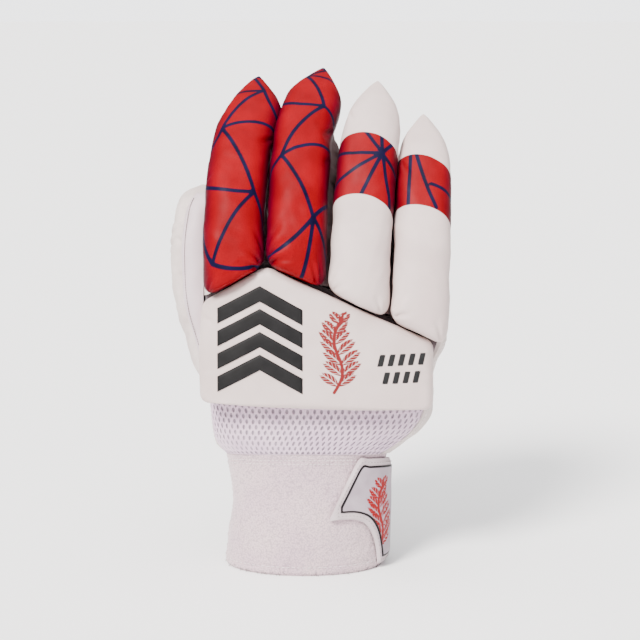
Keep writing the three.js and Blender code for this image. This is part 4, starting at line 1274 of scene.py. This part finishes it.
def make_panel():
    """The foam panel on the back of the hand, softly uneven, with its prints, seated on the hand tube."""
    outer_rings = PANEL_FACE_RINGS // 3
    outer = np.linspace(0.985, PRINT_REACH, outer_rings, endpoint=False)
    shares = np.concatenate([outer, np.linspace(PRINT_REACH, 0.02, PANEL_FACE_RINGS - outer_rings)])
    grid = panel_rings(0, panel_outline(PANEL_COLUMNS), shares)
    x, z = grid[..., 0], grid[..., 2]
    on_face = np.zeros(grid.shape[:2])
    on_face[-PANEL_FACE_RINGS - 10 :] = 1
    dents = creases(x, z, PANEL_DENTS)
    relief = on_face * (PANEL_SWELL * waves(grid, 42, 50) + PANEL_RIPPLE * waves(grid, 15, 51) + dents)
    grid[..., 1] += np.clip(relief, -0.35, 1.5)
    front = np.where(on_face > 0, 0, FAR)
    fields = {"red_print": sprig_distance(x, z) + front, "black_print": dash_distance(x, z) + front}
    panel = loft("back_hand_panel", grid, WHITE_PU, fields)
    return dress(cut(panel, [hand_form("panel_seat", CUT_GAP)]), "white_pu", "back_panel", fill=0.9)


# Soft dents of the panel's face near its edges: start, end, depth, width.
PANEL_DENTS = [
    ((70, 118), (58, 121), 0.7, 3.5), ((69, 130), (60, 126), 0.5, 3.0), ((-60, 120), (-50, 124), 0.5, 4.0),
    ((-58, 150), (-49, 146), 0.6, 3.5), ((-24, 178), (-24, 171), 0.5, 3.0), ((20, 100), (18, 107), 0.3, 5.0),
]


# The rounded edge of a raised bar: inset from its side in millimetres, and lift as a share of its relief.
CHEVRON_EDGE = table("inset lift", (0, -5 / 9), (0, 2.5 / 9), (0.25, 6.2 / 9), (0.7, 8.4 / 9), (1.4, 1))
CHEVRON_END_ROUND = 0.9


def make_emblem():
    """Four raised bars, bent to a peak, stacked on the panel."""
    share = np.concatenate([np.linspace(-1, 0, 34), np.linspace(0, 1, 34)[1:]])
    lift = np.concatenate([CHEVRON_EDGE["lift"], CHEVRON_EDGE["lift"][::-1]]) * CHEVRON_RELIEF
    drop = np.concatenate([CHEVRON_EDGE["inset"], CHEVRON_BAR - CHEVRON_EDGE["inset"][::-1]])
    for i in range(CHEVRON_COUNT):
        x = (CHEVRON_X + share * CHEVRON_HALF_WIDTH)[:, None]
        top = (CHEVRON_TOP_Z - i * CHEVRON_PITCH - np.abs(share) * CHEVRON_RISE)[:, None]
        z = top - drop
        ends = np.clip((1 - np.abs(share)) * CHEVRON_HALF_WIDTH / CHEVRON_END_ROUND, 0, 1)[:, None]
        height = np.where(lift > 0, lift * np.sqrt(1 - (1 - ends) ** 2) + 0.02, lift)
        bar = loft(f"raised_bar_{i + 1}", stack(x, panel_front(x, z) - height, z), RUBBER)
        dress(bar, "white_pu")


# Hand tube: spacer mesh on the back, leather on the palm

HAND_ROWS = 96
HAND_COLUMNS = 120
MESH_PITCH = 5.5
MESH_ROW_SHARE = 0.62
NET_TOP = 0.82
NET_WIDTH = 200.0
NET_SINK = 0.55
LINING_SINK = 0.9
LINING_SHADE_Z = 122.0
LINING_SHADE_X = -50.0


def hand_form(name, offset):
    up = np.linspace(HAND_SHAPE["up"][0], 1, 60)[:, None]
    rings = hand_point(turns(144)[None, :], up, offset)
    top = rings[-1:].copy()
    top[..., 2] += 1
    return loft(name, np.concatenate([rings, top]))


def side_turns(up, offset, clearance=0.0):
    """Turns at which the side seam crosses the hand tube: on the right and on the left."""
    found = []
    for low, high in ((-1.3, 1.3), (math.pi + 1.3, math.pi - 1.3)):
        turn = np.linspace(low, high, 400)
        p = hand_point(turn[None, :], up, offset)
        over = SIDE_SEAM_ACROSS * p[..., 0] - p[..., 1] + SIDE_SEAM_RISE * (p[..., 2] - SIDE_SEAM_LEVEL)
        over = over + SIDE_SEAM_DEPTH - clearance
        i = np.argmax(over < 0, axis=1)
        rows = np.arange(len(i))
        a, b = over[rows, i - 1], over[rows, i]
        found.append(turn[i - 1] + (turn[i] - turn[i - 1]) * a / (a - b))
    return found


def hand_half(front, offset, clearance, rows=HAND_ROWS, columns=HAND_COLUMNS):
    """One half of the hand tube's surface between its side seams: the front or the palm."""
    up = np.linspace(HAND_SHAPE["up"][0], 1, rows)[:, None]
    right, left = side_turns(up, offset, clearance)
    start, end = (left, right + 2 * math.pi) if front else (right, left)
    share = np.linspace(0, 1, columns)[None, :]
    turn = start[:, None] + (end - start)[:, None] * share
    return hand_point(turn, up, offset)


def make_palm():
    """The leather half of the hand tube, creased where the hand closes, with a way through to the thumb."""
    outer = hand_half(False, 0, -SEAM_GAP)
    inner = hand_half(False, -HAND_WALL, -SEAM_GAP)
    share = np.linspace(0, 1, HAND_COLUMNS)[None, :]
    height = np.linspace(0, 1, HAND_ROWS)[:, None]
    calm = np.clip(np.minimum(share, 1 - share) * 9, 0, 1)
    calm = calm * np.clip(np.minimum(height, 1 - height) * 14, 0, 1)
    closing = creases(outer[..., 0], outer[..., 2], PALM_CREASES)
    relief = calm * (0.5 * waves(outer, 34, 60) + 0.2 * waves(outer, 11, 61) - closing - 0.3)
    shift = outward(outer, wrap=False) * np.clip(relief, -1.6, 0.35)[..., None]
    palm = slab("palm_leather", outer + shift, inner + shift, LEATHER)
    return dress(cut(palm, [thumb_loft("thumb_way", -THUMB_WALL, 0.99)]), "leather", "palm")


# Creases of the palm where the hand closes: start, end, depth, width, seen from the front.
PALM_CREASES = [
    ((-40, 120), (10, 96), 1.1, 3.2), ((62, 150), (10, 141), 1.0, 3.0), ((60, 136), (16, 124), 0.8, 3.0),
    ((-44, 150), (-12, 143), 0.8, 2.6), ((-46, 108), (-18, 84), 0.7, 3.0), ((66, 108), (30, 104), 0.7, 3.4),
    ((56, 84), (18, 82), 0.5, 3.0), ((-30, 78), (12, 76), 0.5, 3.0),
]


def make_lining():
    """The thin lining behind the spacer mesh. It is shaded where the fingers and the panel hide it."""
    outer = hand_half(True, -LINING_SINK, 0)
    inner = hand_half(True, -HAND_WALL, 0)
    beside = np.clip(LINING_SHADE_X - outer[..., 0], 0, None)
    hidden_shade = LINING_SHADE_Z - outer[..., 2] + 4 * beside
    lining = slab("mesh_lining", outer, inner, BACKING, {"hidden_shade": hidden_shade})
    dress(cut(lining, [thumb_loft("thumb_way", -THUMB_WALL, 0.99)]), "airmesh")


def net_points(rows, columns):
    """Staggered rows of points, evenly spaced from seam to seam, and the rows' lengths."""
    up = np.linspace(HAND_SHAPE["up"][0], NET_TOP, rows)[:, None]
    right, left = side_turns(up, -NET_SINK)
    share = (np.arange(columns)[None, :] + 0.5 * (np.arange(rows)[:, None] % 2)) / (columns - 0.5)
    fine = np.linspace(left, right + 2 * math.pi, 300).T
    steps = np.linalg.norm(np.diff(hand_point(fine, up, -NET_SINK), axis=1), axis=-1)
    walked = np.cumsum(np.pad(steps, ((0, 0), (1, 0))), axis=1)
    turn = np.array([np.interp(share[r] * walked[r, -1], walked[r], fine[r]) for r in range(rows)])
    return hand_point(turn, up, -NET_SINK), walked[:, -1]


def net_faces(rows, columns):
    """Diamonds between staggered rows, with triangles along the edges."""
    at = np.arange(rows * columns).reshape(rows, columns).tolist()
    faces = []
    for r in range(rows - 2):
        odd = r % 2
        for c in range(columns):
            low, high = at[r][c], at[r + 2][c]
            before, after = c - 1 + odd, c + odd
            if before < 0:
                faces.append((low, at[r + 1][after], high))
            elif after >= columns:
                faces.append((low, high, at[r + 1][before]))
            else:
                faces.append((low, at[r + 1][after], high, at[r + 1][before]))
    for c in range(columns - 1):
        faces.append((at[0][c], at[0][c + 1], at[1][c]))
        faces.append((at[-1][c + 1], at[-1][c], at[-2][c if rows % 2 else c + 1]))
    return faces


def make_hand_mesh():
    """The spacer mesh as a pierced net, with holes that grow from the wrist to the panel."""
    rows = int(HAND_TOP * (NET_TOP - HAND_SHAPE["up"][0]) / (MESH_PITCH * MESH_ROW_SHARE))
    columns = int(NET_WIDTH / MESH_PITCH)
    points, widths = net_points(rows, columns)
    net = grow(
        bare("hand_airmesh", points, [], net_faces(rows, columns)), mesh_tree(), Thickness=0.5 * MM,
        Low=68 * MM, High=100 * MM, Hole_low=0.58, Hole_high=0.68, Knit=AIRMESH,
    )
    dress(net, "airmesh", "hand_mesh")


# Thumb


def thumb_loft(name, offset, last, material=None, rows=40, columns=72):
    up = np.linspace(THUMB_LINE["up"][0], THUMB_LINE["up"][-1] * last, rows)[:, None]
    return loft(name, thumb_ring(up, turns(columns)[None, :], offset), material)


THUMB_WRINKLE = 0.5
THUMB_WRINKLE_PITCHES = 26
THUMB_PLEATS = 9


def make_thumb():
    """A hollow leather thumb, gathered at its tip and wrinkled below it."""
    up = np.linspace(THUMB_LINE["up"][0], THUMB_LINE["up"][-1], 150)[:, None]
    turn = turns(110)[None, :]
    grid = thumb_ring(up, turn, 0)
    calm = np.clip((up - 0.56) * 20, 0, 1) * np.clip((1.112 - up) * 40, 0, 1)
    tip = np.clip((up - 0.98) * 9, 0, 1)
    pleat = 0.5 * tip * np.sin(THUMB_PLEATS * turn + waves(grid, 30, 73))
    folds = up * THUMB_WRINKLE_PITCHES + 0.5 * waves(grid, 18, 74)
    across = THUMB_WRINKLE * np.sin(2 * math.pi * folds)
    wrinkles = np.clip(across, -THUMB_WRINKLE, 0.2) * near(up, 0.97, 0.1)
    relief = calm * (0.45 * waves(grid, 22, 70) + 0.2 * waves(grid, 8, 71) + 0.5 * pleat + wrinkles - 0.2)
    grid = grid + outward(grid) * np.clip(relief, -1.1, 0.3)[..., None]
    thumb = loft("thumb_leather_stall", grid, LEATHER)
    hollow = thumb_loft("thumb_hollow", -THUMB_WALL, 0.985)
    cut(thumb, [hollow, hand_form("hand_way", SEAM_GAP), stall_way("index")])
    dress(thumb, "leather", "thumb_stall")


GUARD_ENDS = (0.56, 1.105)


def make_guard():
    """A foam strip on the back of the thumb, cut to what it runs into."""
    grid = guard_ring(np.linspace(*GUARD_ENDS, 120)[:, None], turns(80)[None, :], 0)
    relief = 0.3 * waves(grid, 24, 80) + 0.1 * waves(grid, 8, 81) - 0.1
    grid = grid + outward(grid) * np.clip(relief, -0.6, 0.25)[..., None]
    plain = np.full(grid.shape[:2], FAR)
    guard = loft("thumb_foam_guard", grid, THUMB_PU, {"red_print": plain, "black_print": plain})
    panel = loft("panel_way", panel_rings(CUT_GAP, panel_outline(160), (0.6, 0.3, 0.05)))
    thumb = thumb_loft("thumb_way", CUT_GAP, 1)
    cut(guard, [hand_form("hand_way", SEAM_GAP), stall_way("index"), thumb, panel])
    dress(guard, "white_pu", "thumb_guard", fill=0.8)


# Wristband, strap and label

# Depths of the towelling's forms in millimetres, and the heights of its sewn lines as shares.
WAIST_DEPTH = 2.0
LOOP_DEPTH = 0.34
BAND_SWELL = 0.35
SEAM_DEPTH = 0.5
WRIST_SEAMS_UP = (0.955, 0.925)
HEM_SEAM_UP = 0.075
SEAM_SPREAD = 0.012


def make_wristband():
    """A padded tube of terry loops, pressed in where it is sewn, with a slight waist on the thumb's side."""
    up = np.concatenate([[0], np.linspace(0.006, 0.06, 8), np.linspace(0.07, 0.985, 88), [0.995, 1]])[:, None]
    turn = turns(270)[None, :]
    outer = band_point(turn, up, 0)
    wall = np.where(up == 0, BAND_FOOT_WALL, BAND_WALL)
    inner = band_point(turn, up, -wall)
    rng = np.random.default_rng(90)
    loops = rng.normal(0, 1, outer.shape[:2])
    loops = (loops + np.roll(loops, 1, 0) + np.roll(loops, 1, 1) + np.roll(loops, -1, 1)) / 4
    calm = np.clip(up * 12, 0, 1) * np.clip((1 - up) * 14, 0, 1)
    seam = near(up, WRIST_SEAMS_UP[0], SEAM_SPREAD) + 0.7 * near(up, HEM_SEAM_UP, SEAM_SPREAD)
    waist = WAIST_DEPTH * np.clip(-np.cos(turn), 0, 1) * near(up, 0.62, 0.24)
    relief = calm * (LOOP_DEPTH * loops + BAND_SWELL * waves(outer, 30, 91) - 0.3) - SEAM_DEPTH * seam
    outer = outer + outward(outer) * (np.clip(relief, -1.0, 0.3) - waist)[..., None]
    inner = inner + 0.15 * calm[..., None] * outward(inner) * waves(inner, 18, 92)[..., None]
    band = loft("terry_wristband", np.concatenate([outer, inner[::-1]]), TOWEL, loop=True, sharp=70)
    dress(band, "towelling", "wristband", fill=0.7)


def strip(name, angles, columns, rows, margin, inside, thickness, material, drop, fields=None):
    """A strip of cloth or leather on the wristband with softened edges."""
    angle = np.linspace(*angles, columns)[:, None]
    across = np.sin(np.linspace(-math.pi / 2, math.pi / 2, rows))[None, :]
    ends = np.clip(np.minimum(angle - angles[0], angles[1] - angle) / 4, 0, 1)
    edge = 1 - drop * np.clip((np.abs(across) - 0.86) / 0.14, 0, 1) ** 2 - drop * (1 - ends) ** 2 * 0.7
    outer = strip_point(angle, across, margin, inside + thickness * edge)
    inner = strip_point(angle, across, margin, inside)
    return slab(name, outer, inner, material, fields(outer, angle, across) if fields else None, sharp=60)


def band_arc(angle):
    """Length round the wristband from its side to an angle, in millimetres."""
    sample = np.radians(np.linspace(-90, 160, 501))
    p = band_point(sample, 0.5, STRAP_THICKNESS)
    walked = np.concatenate([[0], np.cumsum(np.linalg.norm(np.diff(p, axis=0), axis=1))])
    return np.interp(np.radians(angle), sample, walked)


def border(angles, margin, offset, count=150):
    """A closed run along a strip's edges, inside its outline."""
    angle = np.linspace(*angles, count)
    low = strip_point(angle, -1, margin, offset)
    high = strip_point(angle, 1, margin, offset)
    return np.concatenate([low[::-1], high])


LABEL_LINE = 1.2
# How much nearer to the strap the label lies than in the plain solids.
LABEL_SINK = 0.3
STRAP_STITCH_MARGIN = 2.3
LABEL_SPRIG_ANGLE = -26.0
LABEL_SPRIG_LOW = 11.0


def label_fields(outer, angle, across):
    """Distances to the label's black outline and to its red motif."""
    s = band_arc(angle) + 0 * across
    z = outer[..., 2]
    flat = np.stack([s, z], -1)
    rim = np.concatenate([flat[:, -1], flat[::-1, 0], flat[:1, -1]])[::3]
    inside = to_line(s, z, np.concatenate([rim, rim[:1]]))
    sprig_x = s - band_arc(LABEL_SPRIG_ANGLE) + SPRIG_TOP[0]
    motif = sprig_distance(sprig_x, z - LABEL_SPRIG_LOW + SPRIG_BASE[1])
    return {"outline": inside - LABEL_LINE, "red_print": motif}


def make_strap():
    """The strap round the wristband, its stitched border and the satin label on it."""
    angles = (float(STRAP_OUTLINE["angle"][0]), float(STRAP_OUTLINE["angle"][-1]))
    strap = strip("closing_strap", angles, 240, 40, 0, STRAP_CLEARANCE, STRAP_THICKNESS, STRAP, drop=0.55)
    dress(strap, "strap", "wrist_strap")
    face = STRAP_CLEARANCE + STRAP_THICKNESS
    label = strip(
        "strap_satin_label", LABEL_ANGLES, 230, 90, LABEL_MARGIN, face + LABEL_CLEARANCE - LABEL_SINK,
        LABEL_THICKNESS, SATIN, drop=0.5, fields=label_fields,
    )
    dress(label, "label", "strap_label")
    length = band_arc(LABEL_ANGLES[1]) - band_arc(LABEL_ANGLES[0])
    edge = border((angles[0] + 5, angles[1] - 2), STRAP_STITCH_MARGIN, face + 0.02)
    stitches("strap_stitches", [edge], "strap", pitch=2.3, length=1.2, thickness=0.5, yarn=GREY_THREAD)


THUMB_SEAM_TURN = 3.9


def make_seams():
    turn = np.linspace(0, 2 * math.pi, 240)
    rows = [band_point(turn, up, 0.05) for up in WRIST_SEAMS_UP]
    stitches("wrist_seam_stitches", rows, "towelling", pitch=2.4, length=1.7, thickness=0.4)
    hem = band_point(turn, HEM_SEAM_UP, 0.0)
    stitches("hem_stitches", [hem], "towelling", pitch=3.0, length=2.1, thickness=0.45)
    palm = hand_half(False, 0.15, -2.2)[4:-3]
    stitches("side_seam_stitches", [palm[:, 0], palm[:, -1]], "leather", pitch=2.4, length=1.7)
    edge = guard_ring(np.linspace(0.6, 1.09, 120), THUMB_SEAM_TURN, 0.05)
    size = dict(pitch=1.5, length=1.5, thickness=0.5)
    stitches("thumb_seam_stitches", [edge], "leather", yarn=BROWN_THREAD, **size)
    for name in FINGERS:
        stitches(f"{name}_stall_stitches", stall_seams(name), "leather", pitch=2.3, length=1.6, thickness=0.4)


def make_hem_fibres():
    """Loose fibres round the rough lower edge of the towelling."""
    turn = turns(240)[None, :]
    ring = band_point(turn, np.array([[0.012], [0.03]]), 0.1)
    fibres = grow(
        bare("hem_fibres", ring, [], faces_between(2, 240, True).tolist()), fibre_tree(),
        Density=900000.0, Length=1.3 * MM, Thickness=0.13 * MM, Seed=5, Fibre=DARK_FIBRE,
    )
    dress(fibres, "towelling")


for name in FINGERS:
    make_roll(name)
    make_stall(name)
make_panel()
make_emblem()
make_palm()
make_lining()
make_hand_mesh()
make_thumb()
make_guard()
make_wristband()
make_strap()
make_seams()
make_hem_fibres()


# Studio


FLOOR_HALF = 30.0
BACKDROP_RADIUS = 12.0
BACKDROP_HEIGHT = 2.4
CAMERA_TARGET = (6.6, 0, 144.2)
CAMERA_DISTANCE = 1.15
CAMERA_ELEVATION = 10
CAMERA_LENS = 112.5
WORLD_STRENGTH = 0.64


def staged(name, points, faces, material):
    """An object of the studio, in metres, which is no part of the glove."""
    mesh = bpy.data.meshes.new(name)
    mesh.from_pydata(points, [], faces)
    mesh.materials.append(material)
    made = show(name, mesh)
    return made


def make_floor():
    corners = [(x * FLOOR_HALF, y * FLOOR_HALF, 0) for x, y in ((-1, -1), (1, -1), (1, 1), (-1, 1))]
    staged("floor", corners, [(0, 1, 2, 3)], studio_floor())


def make_backdrop():
    """A pale wall far round the floor. It looks as bright as the floor and lights nothing."""
    turn = turns(96)
    low = BACKDROP_RADIUS * np.stack([np.cos(turn), np.sin(turn), 0 * turn], -1)
    points = np.concatenate([low, low + (0, 0, BACKDROP_HEIGHT)]).tolist()
    wall = staged("backdrop", points, faces_between(2, 96, True).tolist(), glowing_backdrop())
    wall.visible_diffuse = False
    wall.visible_glossy = False
    wall.visible_shadow = False


def make_light(name, toward, strength, angle, colour):
    light = bpy.data.lights.new(name, "SUN")
    light.energy = strength
    light.angle = math.radians(angle)
    light.color = linear(colour)[:3]
    show(name, light).rotation_euler = Vector(toward).to_track_quat("-Z", "Y").to_euler()


def make_world():
    world = bpy.data.worlds.new("studio")
    world.use_nodes = True
    sky = world.node_tree.nodes["Background"].inputs
    sky["Color"].default_value = linear("#f2f2f4")
    sky["Strength"].default_value = WORLD_STRENGTH
    bpy.context.scene.world = world


def make_camera():
    elevation = math.radians(CAMERA_ELEVATION)
    target = Vector((np.array(CAMERA_TARGET) + SHIFT) * MM)
    camera = show("camera", bpy.data.cameras.new("camera"))
    camera.data.lens = CAMERA_LENS
    camera.data.sensor_width = 36
    camera.location = target + CAMERA_DISTANCE * Vector((0, -math.cos(elevation), math.sin(elevation)))
    camera.rotation_euler = (target - camera.location).to_track_quat("-Z", "Y").to_euler()
    bpy.context.scene.camera = camera


make_floor()
make_backdrop()
make_light("key", (0.62, 1.0, -1.0), 8.0, 18, "#fffaf6")
make_light("fill", (-0.5, 0.9, -0.3), 0.5, 60, "#f6f4ff")
make_light("top", (0.1, 0.1, -1), 3.6, 70, "#ffffff")
make_world()
make_camera()
